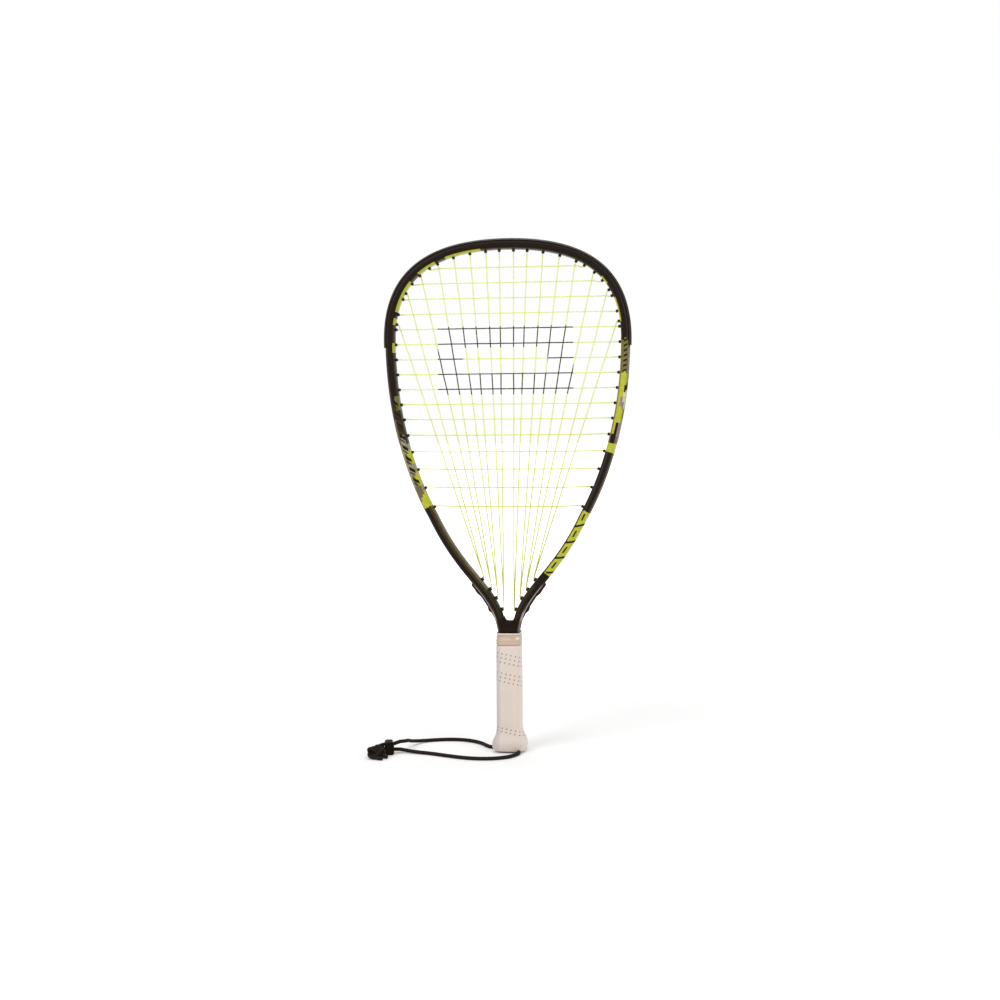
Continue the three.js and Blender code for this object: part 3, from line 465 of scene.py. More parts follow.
HEIGHTS = nose_heights()
SIDES = (-1, 1)
CROSS_AT = {
    (k, side): where_height(z, -HALF - NOSE / 2, side) for k, z in enumerate(HEIGHTS) for side in SIDES
}
MAIN_AT = {(k, side): by_length(0, share, side) for k, share in enumerate(MAINS) for side in SIDES}
THROAT_AT = {(k, side): by_length(2, share, side) for k, share in enumerate(THROAT_NOSES) for side in SIDES}


def ring_places(side, first=0.0, last=len(CURVES)):
    """Stations of the rings on one side between two places, both included"""
    places = [part + k / steps for part, steps in enumerate(RINGS) for k in range(steps)]
    inner = [along for along in places if first < along < last]
    return [Station(min(along, LAST_PLACE), side) for along in (first, *inner, last)]


def outline_at(station):
    """Half of the face at a station and how far the groove has faded in"""
    taper = smoothstep(*LEG_TAPER, station.middle.z)
    return LEG_FACE / 2 + (HALF - LEG_FACE / 2) * taper, smoothstep(*GROOVE_FADE, station.middle.z)


def tube_section(station):
    face, fade = outline_at(station)
    skin = mirrored([(out * face, -deep * BEAM / 2) for out, deep in TUBE_SHARES])
    floor_out, wall = face - GROOVE_DEPTH * fade, GROOVE_WIDTH / 2
    groove = [
        Vector((face, wall)), Vector((floor_out, wall)), Vector((floor_out, -wall)), Vector((face, -wall)),
    ]
    return rounded(skin + groove, [SOFT_CORNER] * len(skin) + [HARD_CORNER * fade + 1e-6] * len(groove))


def sweep(shell, stations, section_at):
    rings, uvs = [], []
    for station in stations:
        section = section_at(station)
        rings.append([station.at(point.x, point.y) for point in section])
        uvs.append([(station.side * station.run, point.x) for point in section])
    shell.rings(rings, uvs)


# Materials

MATERIALS = {}
SEEN_RAYS = ("Camera", "Glossy", "Transmission")


class Weaver:
    """Short calls that add nodes to a tree"""

    def __init__(self, tree):
        self.tree = tree

    def link(self, value, socket):
        if isinstance(value, bpy.types.NodeSocket):
            self.tree.links.new(value, socket)
        else:
            socket.default_value = value

    def add(self, kind, sockets=(), output=0, **values):
        """One output of a new node whose input sockets are linked or set"""
        node = self.tree.nodes.new(kind)
        for name, value in values.items():
            setattr(node, name, value)
        for socket, value in sockets:
            self.link(value, node.inputs[socket])
        return node.outputs[output]

    def maths(self, operation, *values):
        return self.add("ShaderNodeMath", enumerate(values), operation=operation)

    def plus(self, a, b):
        return self.maths("ADD", a, b)

    def minus(self, a, b):
        return self.maths("SUBTRACT", a, b)

    def times(self, a, b):
        return self.maths("MULTIPLY", a, b)

    def away(self, a, b):
        """The length of a flat vector"""
        return self.maths("SQRT", self.plus(self.maths("POWER", a, 2.0), self.maths("POWER", b, 2.0)))

    def all(self, *shares):
        return functools.reduce(self.times, shares)

    def any(self, *shares):
        return functools.reduce(functools.partial(self.maths, "MAXIMUM"), shares)

    def ramp(self, value, low, high, to_low=0.0, to_high=1.0):
        names = ("Value", "From Min", "From Max", "To Min", "To Max")
        sockets = zip(names, (value, low, high, to_low, to_high))
        return self.add("ShaderNodeMapRange", sockets, interpolation_type="SMOOTHSTEP")

    def between(self, value, low, high, soft=0.0002):
        """1 where a value lies between two limits"""
        above = self.ramp(value, low - soft, low + soft)
        return self.all(above, self.ramp(value, high - soft, high + soft, 1, 0))

    def seen(self):
        """1 for rays that show a thing, straight or in a reflection"""
        rays = self.tree.nodes.new("ShaderNodeLightPath")
        return self.any(*(rays.outputs[f"Is {kind} Ray"] for kind in SEEN_RAYS))


class Paint(Weaver):
    """A material, with short calls that add nodes to it"""

    def __init__(self, name, colour, roughness=0.5, **sockets):
        made = MATERIALS[name] = bpy.data.materials.new(name)
        made.use_nodes = True
        made.diffuse_color = (*colour, 1)
        super().__init__(made.node_tree)
        self.shader = self.tree.nodes["Principled BSDF"].inputs
        self.shader["Base Color"].default_value = (*colour, 1)
        self.shader["Roughness"].default_value = roughness
        for socket, value in sockets.items():
            self.shader[socket.replace("_", " ")].default_value = value
        self.where = self.add("ShaderNodeTexCoord", output="Object")

    def split(self, vector):
        separate = self.add("ShaderNodeSeparateXYZ", [(0, vector)])
        return list(separate.node.outputs)

    def strip(self):
        """The UV pair of a piece: the length along, and the other measure"""
        return self.split(self.add("ShaderNodeUVMap", uv_map="strip"))[:2]

    def noise(self, scale, detail):
        sockets = (("Vector", self.where), ("Scale", scale), ("Detail", detail))
        return self.add("ShaderNodeTexNoise", sockets, "Fac")

    def mix(self, share, *colours):
        ends = [value if isinstance(value, bpy.types.NodeSocket) else (*value, 1) for value in colours]
        sockets = zip(("Factor", "A", "B"), (share, *ends))
        return self.add("ShaderNodeMix", sockets, "Result", data_type="RGBA")

    def scaled(self, colour, share):
        return self.add("ShaderNodeVectorMath", ((0, colour), ("Scale", share)), operation="SCALE")

    def bump(self, height, distance, strength, *under):
        sockets = [("Height", height), ("Distance", distance), ("Strength", strength)]
        return self.add("ShaderNodeBump", sockets + [("Normal", normal) for normal in under])

    def repeated(self, run, pitch):
        """The share of each pitch reached along a run"""
        return self.maths("FRACT", self.maths("DIVIDE", run, pitch))

    def painted(self, run, bands):
        """Colours along a run, each from its place on"""
        colour = self.add("ShaderNodeValToRGB", [(0, self.maths("DIVIDE", run, PAINTED_RUN))])
        steps = colour.node.color_ramp.elements
        colour.node.color_ramp.interpolation = "CONSTANT"
        while len(steps) < len(bands):
            steps.new(1.0)
        for step, (place, shade) in zip(steps, bands):
            step.position = place * MM / PAINTED_RUN
            step.color = (*shade, 1)
        return colour

    def colour(self, value):
        self.link(value, self.shader["Base Color"])

    def roughness(self, value):
        self.link(value, self.shader["Roughness"])

    def normal(self, value):
        self.link(value, self.shader["Normal"])


BLACK = (0.017, 0.0105, 0.0068)
BROWN = (0.038, 0.029, 0.013)
# Purple-grey: a painted highlight, the sheen band along the frame's front outer bevel
PURPLE_SHEEN = (0.038, 0.028, 0.031)
UMBER = (0.05, 0.037, 0.014)
GOLD = (0.12, 0.096, 0.042)
OLIVE = (0.19, 0.175, 0.052)
YELLOW = (0.5, 0.52, 0.045)
TAN = (0.33, 0.29, 0.19)
MUD = (0.17, 0.13, 0.08)
LILAC = (0.3, 0.235, 0.235)
CREAM = (0.7, 0.66, 0.42)
# Painted highlight on the legs' outer bevel, and its dimmer part lower down
BEVEL_HIGHLIGHT = (0.42, 0.37, 0.36)
DIM_BEVEL_HIGHLIGHT = (0.16, 0.135, 0.13)

# Colours along each side's lanes, inner lane first, each from its place in mm from the crown. The fourth
# lane's purple-grey band along the front outer bevel is a painted highlight
PAINTED_RUN = 0.65
LANE_EDGES = (-0.0033, -0.001, 0.0018, 0.0036)
LEFT_LANES = (
    [(0, BROWN), (27, YELLOW), (68, BROWN), (80, YELLOW), (102, BROWN), (115, YELLOW), (153.5, BLACK),
     (160, YELLOW), (168.5, BROWN), (188.5, YELLOW), (199, BROWN), (248, OLIVE), (262, BROWN),
     (300, TAN), (309, YELLOW), (323, TAN), (333, YELLOW), (348, TAN), (357, YELLOW), (374, GOLD),
     (450, MUD), (486, BROWN)],
    [(0, BLACK), (248, OLIVE), (262, UMBER), (290, TAN), (309, YELLOW), (323, TAN), (333, YELLOW),
     (348, MUD), (359, YELLOW), (374, UMBER), (486, BROWN)],
    [(0, BLACK), (250, UMBER), (292, TAN), (312, OLIVE), (323, TAN), (337, OLIVE), (350, MUD),
     (363, YELLOW), (374, BLACK)],
    [(0, PURPLE_SHEEN), (255, UMBER), (272, MUD), (300, TAN), (350, MUD), (368, YELLOW), (374, BLACK),
     (462, BROWN)],
    [(0, BLACK), (262, PURPLE_SHEEN), (285, MUD), (300, TAN), (356, MUD), (374, PURPLE_SHEEN), (476, BROWN)],
)
RIGHT_LANES = (
    [(0, BROWN), (112, YELLOW), (122, BROWN), (140, YELLOW), (168, BROWN), (190, OLIVE),
     (300.6, YELLOW), (311.2, BLACK), (470, BROWN)],
    [(0, BLACK), (189, OLIVE), (224, YELLOW), (291, BLACK), (300.6, YELLOW), (311.2, PURPLE_SHEEN),
     (360, BROWN), (379.3, YELLOW), (461, BLACK), (478, BROWN)],
    [(0, BLACK), (186, OLIVE), (222, YELLOW), (251, LILAC), (260, YELLOW), (278, BLACK),
     (300.6, YELLOW), (311.2, BLACK), (379.3, YELLOW), (461, BLACK)],
    [(0, PURPLE_SHEEN), (188, OLIVE), (224, YELLOW), (237, BLACK), (244, CREAM), (255, LILAC), (263, YELLOW),
     (279, LILAC), (292, MUD), (300.6, YELLOW), (311.2, PURPLE_SHEEN), (379.3, YELLOW), (461, BLACK),
     (500, BROWN)],
    [(0, BLACK), (198, LILAC), (234, BLACK), (243, CREAM), (262, OLIVE), (274, LILAC), (300.6, CREAM),
     (311.2, MUD), (379.3, CREAM), (461, PURPLE_SHEEN), (474, BROWN)],
)
# Ranges with short slanted dashes in place of words, as start, end, pitch and lean, and the row of blocks
LEFT_DASHES = (0.25, 0.35, 0.0126, 1.1)
RIGHT_DASHES = (0.188, 0.2255, 0.0054, 0.5)
BLOCKS = (0.3793, 0.461, 0.0204, 0.8)

# Marks on each side: the row, from and to as shares of its pitch, and from and to across the tube
LEFT_MARKS = ((LEFT_DASHES, 0.2, 0.56, -0.0034, 0.0016), (LEFT_DASHES, 0.7, 0.86, -0.0024, 0.0022))
RIGHT_MARKS = (
    (RIGHT_DASHES, 0.3, 0.72, -0.0016, 0.0024), (BLOCKS, 0.86, 1.1, -0.0036, 0.005),
    (BLOCKS, 0.22, 0.62, -0.0008, 0.001),
)

# Painted highlight line on the legs' outer bevel: across the tube and where it tapers, in depth, and along
# the run
LEG_LINE, LOW_LEG_LINE = (0.0036, 0.004), (0.0024, 0.003)
LEG_LINE_LOWERED = (0.152, 0.158)
LEG_LINE_DEEP = (0.0058, 0.0064)
LEG_LINE_STARTS, LEG_LINE_DIMS = (0.472, 0.478), (0.519, 0.525)
LANE_SOFT = 0.00025
LANE_WAVE = 0.0016
CROTCH_HEIGHTS, CROTCH_SIDE = (0.137, 0.16), (0.0085, 0.0095)


def lanes_paint(w, run, across, lanes):
    """The colours of one side, lane by lane"""
    made = w.painted(run, lanes[0])
    for edge, bands in zip(LANE_EDGES, lanes[1:]):
        made = w.mix(w.ramp(across, edge - LANE_SOFT, edge + LANE_SOFT), made, w.painted(run, bands))
    return made


def dashes(w, run, across, row, first, last, low, high):
    """1 on the dashes of a row: a part of each pitch, between two places across"""
    start, end, pitch, lean = row
    slanted = w.maths("MULTIPLY_ADD", across, lean, w.minus(run, start))
    dash = w.between(w.repeated(slanted, pitch), first, last, 0.04)
    return w.all(dash, w.between(run, start, end), w.between(across, low, high, 0.0003))


def leg_highlight(w, run, across, y, z):
    """1 on the painted highlight line along the legs' outer bevel"""
    lowered = w.all(w.ramp(z, *LEG_LINE_LOWERED, 1, 0), w.ramp(across, *LOW_LEG_LINE))
    outer = w.any(lowered, w.ramp(across, *LEG_LINE))
    return w.all(outer, w.ramp(w.maths("ABSOLUTE", y), *LEG_LINE_DEEP), w.ramp(run, *LEG_LINE_STARTS))


def frame_paint():
    w = Paint("frame_paint", BLACK, 0.4, Specular_IOR_Level=0.045)
    x, y, z = w.split(w.where)
    along, across = w.strip()
    left, run = w.times(along, -1.0), w.maths("ABSOLUTE", along)
    wavy = w.times(w.minus(w.noise(180, 2), 0.5), LANE_WAVE)
    left_colour = lanes_paint(w, w.plus(left, wavy), across, LEFT_LANES)
    right_colour = lanes_paint(w, w.plus(along, wavy), across, RIGHT_LANES)
    paint = w.mix(w.maths("GREATER_THAN", along, 0.0), left_colour, right_colour)
    # Painted highlight along the legs' outer bevel, dimmer lower down
    line = w.mix(w.ramp(run, *LEG_LINE_DIMS), BEVEL_HIGHLIGHT, DIM_BEVEL_HIGHLIGHT)
    paint = w.mix(leg_highlight(w, run, across, y, z), paint, line)
    shaded = w.scaled(paint, w.ramp(w.noise(700, 3), 0.35, 0.75, 0.82, 1.12))
    marks = [dashes(w, left, across, *row) for row in LEFT_MARKS]
    marks += [dashes(w, along, across, *row) for row in RIGHT_MARKS]
    w.colour(w.mix(w.any(*marks), shaded, BLACK))
    crotch = w.all(w.between(z, *CROTCH_HEIGHTS), w.ramp(w.maths("ABSOLUTE", x), *CROTCH_SIDE, 1, 0))
    w.roughness(w.any(w.ramp(w.noise(60, 3), 0.3, 0.8, 0.3, 0.42), crotch))


# String colours low and high on the bed, blended between two heights: darker low down, a painted shade
LOW_STRINGS = ((0.62, 0.66, 0.1), (0.72, 0.76, 0.15))
HIGH_STRINGS = ((0.76, 0.8, 0.26), (0.84, 0.87, 0.36))
STRING_FADE = (0.22, 0.42)
STENCIL = (0.03, 0.03, 0.028)
STENCIL_PLACE = (-0.002, 0.428)
STENCIL_OUTER, STENCIL_INNER = (0.074, 0.037), (0.046, 0.014)


def stencil_box(w, x, z, half_x, half_z):
    middle_x, middle_z = STENCIL_PLACE
    return w.all(
        w.between(x, middle_x - half_x, middle_x + half_x),
        w.between(z, middle_z - half_z, middle_z + half_z),
    )


def grained(name, colour, roughness, colours=None, uneven=None, bumps=None, **sockets):
    """A plain material whose colour, roughness and surface may vary by noise of a scale and detail"""
    w = Paint(name, colour, roughness, **sockets)
    if colours:
        scale, detail, low, high = colours
        w.colour(w.mix(w.noise(scale, detail), low, high))
    if uneven:
        scale, *limits = uneven
        w.roughness(w.ramp(w.noise(scale, 3), *limits))
    if bumps:
        scale, detail, distance, strength = bumps
        w.normal(w.bump(w.noise(scale, detail), distance, strength))


def string_yellow():
    """Pale strings, painted darker low on the bed as painted shade, with a plain dark rectangle stencilled
    on the middle of the bed
    """
    w = Paint("string_yellow", (0.66, 0.7, 0.13), 0.45, Specular_IOR_Level=0.12)
    x, _, z = w.split(w.where)
    grain = w.noise(40, 2)
    # Painted shade: darker strings low on the bed
    pale = w.mix(w.ramp(z, *STRING_FADE), w.mix(grain, *LOW_STRINGS), w.mix(grain, *HIGH_STRINGS))
    ring = w.minus(stencil_box(w, x, z, *STENCIL_OUTER), stencil_box(w, x, z, *STENCIL_INNER))
    worn = w.ramp(w.noise(500, 3), 0.3, 0.5, 0.75, 1)
    w.colour(w.mix(w.all(ring, worn), pale, STENCIL))


TAPE_TAN, TAPE_LIGHT, TAPE_LEFT_SHADE = (0.54, 0.415, 0.315), (0.6, 0.47, 0.36), (0.4, 0.38, 0.34)
# Bands on the tape: from and to in height, softness, from and to round the handle, colour
TAPE_BANDS = [
    (0.1165, 0.1212, 0.0008, -0.0085, 0.008, (0.6, 0.405, 0.305)),
    (0.1245, 0.1262, 0.0006, -0.0075, 0.003, (0.64, 0.51, 0.4)),
    (0.1269, 0.1283, 0.0004, -0.02, 0.0095, (0.49, 0.38, 0.29)),
    # Pale band on the right near the top: a painted highlight
    (0.1252, 0.1272, 0.0005, 0.009, 0.0135, (0.9, 0.8, 0.68)),
]
HOLE_TILT = math.atan(0.209)
HOLE_PITCH, HOLE_RADIUS = 0.005, 0.0009
# Rows of holes: the middle row's height on the tilted grid, pitch, rows on each side of it, and shift
HOLE_ROWS = [(0.1007, 0.0046, 1, 0.0038), (0.0799, 0.0044, 1, 0.0025), (0.0233, 0.0037, 0.5, 0.0001)]
HOLE_EDGE = (HOLE_RADIUS * 0.6, HOLE_RADIUS * 1.1)

# Grip colours: leather from and to, warm patches, painted shade on the left side, painted light on the right
# side, rim, a dark bottom band, and holes painted darker for the shade inside them
LEATHER = ((0.66, 0.57, 0.51), (0.73, 0.645, 0.585))
WARM, LEFT_SHADE, RIGHT_LIGHT = (0.74, 0.61, 0.51), (0.6, 0.53, 0.5), (0.8, 0.71, 0.64)
RIM, FOOT_BAND, HOLE_SHADE = (0.78, 0.7, 0.6), (0.05, 0.032, 0.022), (0.24, 0.18, 0.15)
LEFT_SIDE, RIGHT_SIDE = (-0.0075, -0.0105), (0.0105, 0.014)


def punched(w, around, height):
    """1 in the grip's small holes, 0 between them"""
    cosine, sine = math.cos(HOLE_TILT), math.sin(HOLE_TILT)
    row = w.plus(w.times(around, sine), w.times(height, cosine))
    place = w.minus(w.times(around, cosine), w.times(height, sine))
    found = []
    for middle, pitch, reach, shift in HOLE_ROWS:
        offset = pitch / 2 if reach % 1 == 0 else 0
        off_row = w.minus(w.repeated(w.minus(row, middle - offset), pitch), 0.5)
        off_place = w.minus(w.repeated(w.minus(place, shift), HOLE_PITCH), 0.5)
        away = w.away(w.times(off_row, pitch), w.times(off_place, HOLE_PITCH))
        span = (reach + 0.5) * pitch
        inside = w.between(row, middle - span, middle + span, 0.0001)
        found.append(w.all(w.ramp(away, *HOLE_EDGE, 1, 0), inside))
    return w.any(*found)


def leather(w, around, height):
    """The grip's colour without its holes"""
    shade = w.mix(w.noise(45, 3), *LEATHER)
    patches = w.all(w.between(around, 0.0045, 0.009, 0.0022), w.ramp(w.noise(90, 2), 0.3, 0.6))
    shade = w.mix(patches, shade, WARM)
    # Painted shade on the left side and painted light on the right side
    shade = w.mix(w.ramp(around, *LEFT_SIDE), shade, LEFT_SHADE)
    shade = w.mix(w.ramp(around, *RIGHT_SIDE), shade, RIGHT_LIGHT)
    shade = w.mix(w.between(height, 0.0022, 0.0032, 0.0002), shade, RIM)
    # A dark band along the bottom edge
    return w.mix(w.ramp(height, 0.0022, 0.0018), shade, FOOT_BAND)


def grip_beige():
    w = Paint("grip_beige", (0.69, 0.6, 0.54), 0.6, Specular_IOR_Level=0.3)
    around, height = w.strip()
    holes = punched(w, around, height)
    # The holes are painted darker: painted shade inside them
    w.colour(w.mix(w.times(holes, 0.85), leather(w, around, height), HOLE_SHADE))
    lean = w.maths("MULTIPLY_ADD", around, 0.12, height)
    creases = w.maths("SINE", w.plus(w.times(lean, 2600), w.times(w.noise(60, 2), 6)))
    creased = w.all(w.between(height, 0.006, 0.0175, 0.002), w.between(around, 0.001, 0.03, 0.004))
    grain = w.bump(w.noise(900, 4), 0.00012, 0.35)
    wrinkled = w.bump(w.times(creases, creased), 0.0003, 0.7, grain)
    w.normal(w.bump(w.minus(1.0, holes), 0.0006, 0.8, wrinkled))


def tape_tan():
    """Bands up the tape: rosy at the foot, tan, cream near the top, and a pale painted highlight on the
    right near the top edge
    """
    w = Paint("tape_tan", (0.6, 0.46, 0.36), 0.5, Specular_IOR_Level=0.3)
    around, height = w.strip()
    lean = w.maths("MULTIPLY_ADD", around, 0.05, height)
    shade = w.mix(w.noise(90, 3), TAPE_TAN, TAPE_LIGHT)
    for low, high, soft, first, last, colour in TAPE_BANDS:
        band = w.all(w.between(lean, low, high, soft), w.between(around, first, last, 0.0016))
        shade = w.mix(band, shade, colour)
    # The left side painted greyer: painted shade
    w.colour(w.mix(w.ramp(around, *LEFT_SIDE), shade, w.mix(0.5, shade, TAPE_LEFT_SHADE)))
    w.normal(w.bump(w.noise(1200, 3), 0.00008, 0.4))


def cord_black():
    w = Paint("cord_black", (0.008, 0.005, 0.004), 0.8, Specular_IOR_Level=0.06)
    along, around = w.strip()
    turns = w.times(around, 2 * math.pi * BRAID_TURNS)
    run = w.times(along, 2 * math.pi / BRAID_PITCH)
    braid = w.any(w.maths("SINE", w.plus(run, turns)), w.maths("SINE", w.minus(run, turns)))
    # Painted shade in the braid's grooves: darker where the braid is low
    w.colour(w.mix(w.ramp(braid, -0.2, 1), (0.006, 0.0036, 0.003), (0.034, 0.024, 0.019)))
    w.normal(w.bump(braid, 0.0002, 0.8))


frame_paint()
string_yellow()
grip_beige()
tape_tan()
cord_black()
grained(
    "nylon_black", (0.024, 0.016, 0.009), 0.42, (300, 3, (0.018, 0.012, 0.0065), (0.032, 0.022, 0.012)),
    (120, 0.3, 0.7, 0.34, 0.5), (1400, 2, 0.00006, 0.35), Specular_IOR_Level=0.1,
)
grained(
    "foam_grey", (0.05, 0.05, 0.048), 0.8, (200, 3, (0.035, 0.035, 0.034), (0.07, 0.07, 0.067)),
    bumps=(700, 4, 0.0002, 0.6),
)
grained(
    "cap_black", (0.012, 0.01, 0.008), 0.45, (250, 3, (0.01, 0.008, 0.006), (0.022, 0.017, 0.013)),
    bumps=(1500, 2, 0.00006, 0.4), Specular_IOR_Level=0.15,
)
grained("steel", (0.55, 0.56, 0.58), 0.3, uneven=(500, 0.2, 0.8, 0.22, 0.42), Metallic=1)
grained("collar_white", (0.68, 0.6, 0.53), 0.55, (150, 3, (0.64, 0.56, 0.49), (0.71, 0.63, 0.56)))
grained(
    "lock_black", (0.009, 0.005, 0.003), 0.5, (400, 2, (0.007, 0.004, 0.002), (0.015, 0.009, 0.005)),
    (300, 0.3, 0.7, 0.45, 0.6), Specular_IOR_Level=0.03,
)


def settle(shell, name, slot_name, node, smooth_angle):
    """Makes a shell a piece of the racket that stands for a node"""
    piece = shell.piece(name, MATERIALS[slot_name], smooth_angle)
    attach(piece, "racket")
    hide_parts(node)
    return piece


# Tether

def metres(points):
    return [Vector(point) * MM for point in points]


def tether(name, route, node):
    shell = Shell()
    path = catmull(metres(route), CORD_STEP)
    lay_tube(shell, path, CORD, CORD_SIDES)
    return settle(shell, name, "cord_black", node, 60), path


def knot_strand(aside):
    """One strand of a tight overhand knot, set aside from its middle line"""
    length, width, height = (size / 2 - times * CORD for size, times in zip(KNOT_SIZE, (2, 2, 1)))
    turn = Euler((KNOT_TILT, 0, KNOT_TURN), "XYZ")
    loop = []
    for k in range(KNOT_STEPS):
        angle = 2 * math.pi * k / KNOT_STEPS
        way = Vector((
            length * (math.cos(angle) + 4 * math.cos(2 * angle)),
            width * (4 * math.sin(2 * angle) - math.sin(angle)),
        )).normalized()
        point = Vector((
            (math.sin(angle) + 2 * math.sin(2 * angle)) / 3 * length - way.y * aside,
            (math.cos(angle) - 2 * math.cos(2 * angle)) / 3 * width + way.x * aside,
            -math.sin(3 * angle) * height,
        ))
        point.rotate(turn)
        loop.append(point + Vector(KNOT_CENTRE) * MM)
    return loop


def knot():
    shell = Shell()
    for aside in (-CORD, CORD):
        lay_tube(shell, knot_strand(aside), CORD, CORD_SIDES, closed=True)
    for tail in KNOT_TAILS:
        lay_tube(shell, catmull(metres(tail), CORD_STEP), CORD, CORD_SIDES, dome_height=TAIL_DOME)
    return settle(shell, "tether_knot_tied", "cord_black", "tether_knot", 60)


def tether_set():
    front, front_path = tether("tether_front_strand", FRONT_ROUTE, "tether_front")
    back, back_path = tether("tether_back_strand", BACK_ROUTE, "tether_back")
    bight, bight_path = tether("tether_inner_bight", BIGHT_ROUTE, "tether_bight")
    tied = knot()


# Frame

def frame_hoop():
    shell = Shell()
    left, right = ring_places(-1), ring_places(1)
    sweep(shell, left[::-1] + right[1:], tube_section)
    settle(shell, "frame_tube", "frame_paint", "frame_hoop", 50)


def bridge_outline():
    bottom = COLLAR_TOP + GAP
    crotch = bottom + BRIDGE_RISE * CROTCH
    right = [Vector((BRIDGE_HALF * across, bottom + BRIDGE_RISE * rise)) for across, rise in BRIDGE_SHARES]
    tip = Vector((BRIDGE_HALF * BRIDGE_TIP, bottom + BRIDGE_RISE))
    corner = Vector((BRIDGE_HALF * CROTCH_CORNER, crotch))
    flat = Vector((BRIDGE_HALF * CROTCH_FLAT, crotch))
    side = right + quadratic(tip, corner, flat, CROTCH_STEPS)
    return side + [Vector((-point.x, point.y)) for point in reversed(side)]


def throat_bridge():
    outline = bridge_outline()
    depth = BEAM / 2 + BRIDGE_PROUD
    back = []
    for k in range(BRIDGE_SOFT_STEPS + 1):
        turn = math.pi / 2 * k / BRIDGE_SOFT_STEPS
        back.append((BRIDGE_SOFT * (1 - math.cos(turn)), depth - BRIDGE_SOFT * (1 - math.sin(turn))))
    rings = []
    for inset, deep in [(inset, -deep) for inset, deep in reversed(back)] + back:
        rings.append([Vector((point.x, deep, point.y)) for point in drawn_in(outline, inset)])
    shell = Shell()
    shell.rings(rings)
    settle(shell, "throat_web", "frame_paint", "throat_bridge", 35)


def barrel(shell, station):
    """A round nose with a soft lip and a dimple for the string"""
    inner = -HALF - NOSE
    levels = [(STRIP_BASE, BARREL), (inner + LIP, BARREL), (inner + LIP * 0.3, BARREL - LIP * 0.3)]
    levels += [(inner, BARREL - LIP), (inner, BORE), (inner + DIMPLE, BORE)]
    angles = [2 * math.pi * side / BARREL_SIDES for side in range(BARREL_SIDES)]
    rings = []
    for out, size in levels:
        rings.append([station.at(out, math.sin(angle) * size, math.cos(angle) * size) for angle in angles])
    shell.rings(rings)


def block_barrel(shell, station):
    """A squared throat nose with softened corners"""
    length, depth = THROAT_BARREL
    inner = -HALF - THROAT_NOSE
    corners = [Vector((x * length / 2, y * depth / 2)) for x, y in ((1, 1), (-1, 1), (-1, -1), (1, -1))]
    rings = []
    for out, shrink in ((STRIP_BASE, 0), (inner + LIP, 0), (inner + LIP * 0.3, LIP * 0.3), (inner, LIP)):
        shape = rounded([corner * (1 - shrink / (length / 2)) for corner in corners], THROAT_CORNER)
        rings.append([station.at(out, point.y, point.x) for point in shape])
    shell.rings(rings)


def bumper_section(_):
    rim, top = HALF + GAP, HALF + GAP + BUMPER
    shoulder, cheek = TUBE_SHARES[0], TUBE_SHARES[1]
    shoulder_deep = -shoulder[1] * BEAM / 2
    lip_out = HALF + (cheek[0] - shoulder[0]) * HALF * BUMPER_LIP
    lip_deep = -(shoulder[1] + (cheek[1] - shoulder[1]) * BUMPER_LIP) * BEAM / 2
    front = [
        (CHANNEL, -CHANNEL_HALF), (top, -CHANNEL_HALF), (top, shoulder_deep - GAP),
        (lip_out + GAP + BUMPER / 2, lip_deep - BUMPER), (lip_out + GAP, lip_deep - GAP),
        (rim, shoulder_deep - GAP / 2), (rim, -STRIP_HALF), (STRIP_BASE, -STRIP_HALF),
    ]
    return rounded(mirrored(front), BUMPER_CORNERS + BUMPER_CORNERS[::-1])


def bumper_end(past=0.0):
    before, after = (CROSS_AT[k, 1].along for k in (BUMPER_CROSSES - 1, BUMPER_CROSSES))
    return before + (after - before) * BUMPER_END + past / LENGTHS[1][-1]


def bumper_guard():
    end = bumper_end()
    shell = Shell()
    left, right = (ring_places(side, 0.0, end) for side in SIDES)
    sweep(shell, left[::-1] + right[1:], bumper_section)
    for station in (*MAIN_AT.values(), *CROSS_AT.values()):
        if station.along < end:
            barrel(shell, station)
    settle(shell, "bumper_moulding", "nylon_black", "bumper_guard", 50)


def strip_section(rise=0.0):
    top = HALF + STRIP_PROUD + rise
    front = [(CHANNEL, -CHANNEL_HALF), (top, -CHANNEL_HALF), (top, -STRIP_HALF), (STRIP_BASE, -STRIP_HALF)]
    return rounded(mirrored(front), STRIP_CORNER)


def side_strip(side, name, node):
    shell = Shell()
    first = bumper_end(STRIP_JOINT)
    sweep(shell, ring_places(side, first, 2.0), lambda station: strip_section())
    for (_, way), station in CROSS_AT.items():
        if way == side and station.along > first:
            barrel(shell, station)
    settle(shell, name, "nylon_black", node, 50)


def table_step(table, place):
    """The step of a table of places that a place lies in, and how far along it"""
    places = [row[0] for row in table]
    k = min(max(1, bisect.bisect_left(places, place)), len(places) - 1)
    return k, (place - places[k - 1]) / (places[k] - places[k - 1])


def throat_proud(share):
    """How far a throat strip stands out at a share of the leg's length"""
    k, t = table_step(THROAT_SHARES, share)
    low, high = THROAT_SHARES[k - 1][1], THROAT_SHARES[k][1]
    return THROAT_PROUD * (low + (high - low) * t)


def throat_strip(side, name, node):
    shell = Shell()
    first, last = THROAT_SHARES[0][0], THROAT_SHARES[-1][0]
    steps = round((last - first) * LENGTHS[2][-1] / THROAT_STEP)
    shares = {first + (last - first) * k / steps for k in range(steps + 1)}
    shares.update(place for place, _ in THROAT_SHARES)
    rises = {by_length(2, share, side): throat_proud(share) for share in sorted(shares)}
    sweep(shell, list(rises), lambda station: strip_section(rises[station] - STRIP_PROUD))
    for (_, way), station in THROAT_AT.items():
        if way == side:
            block_barrel(shell, station)
    settle(shell, name, "nylon_black", node, 50)


# Strings: each passes over one neighbour and under the next

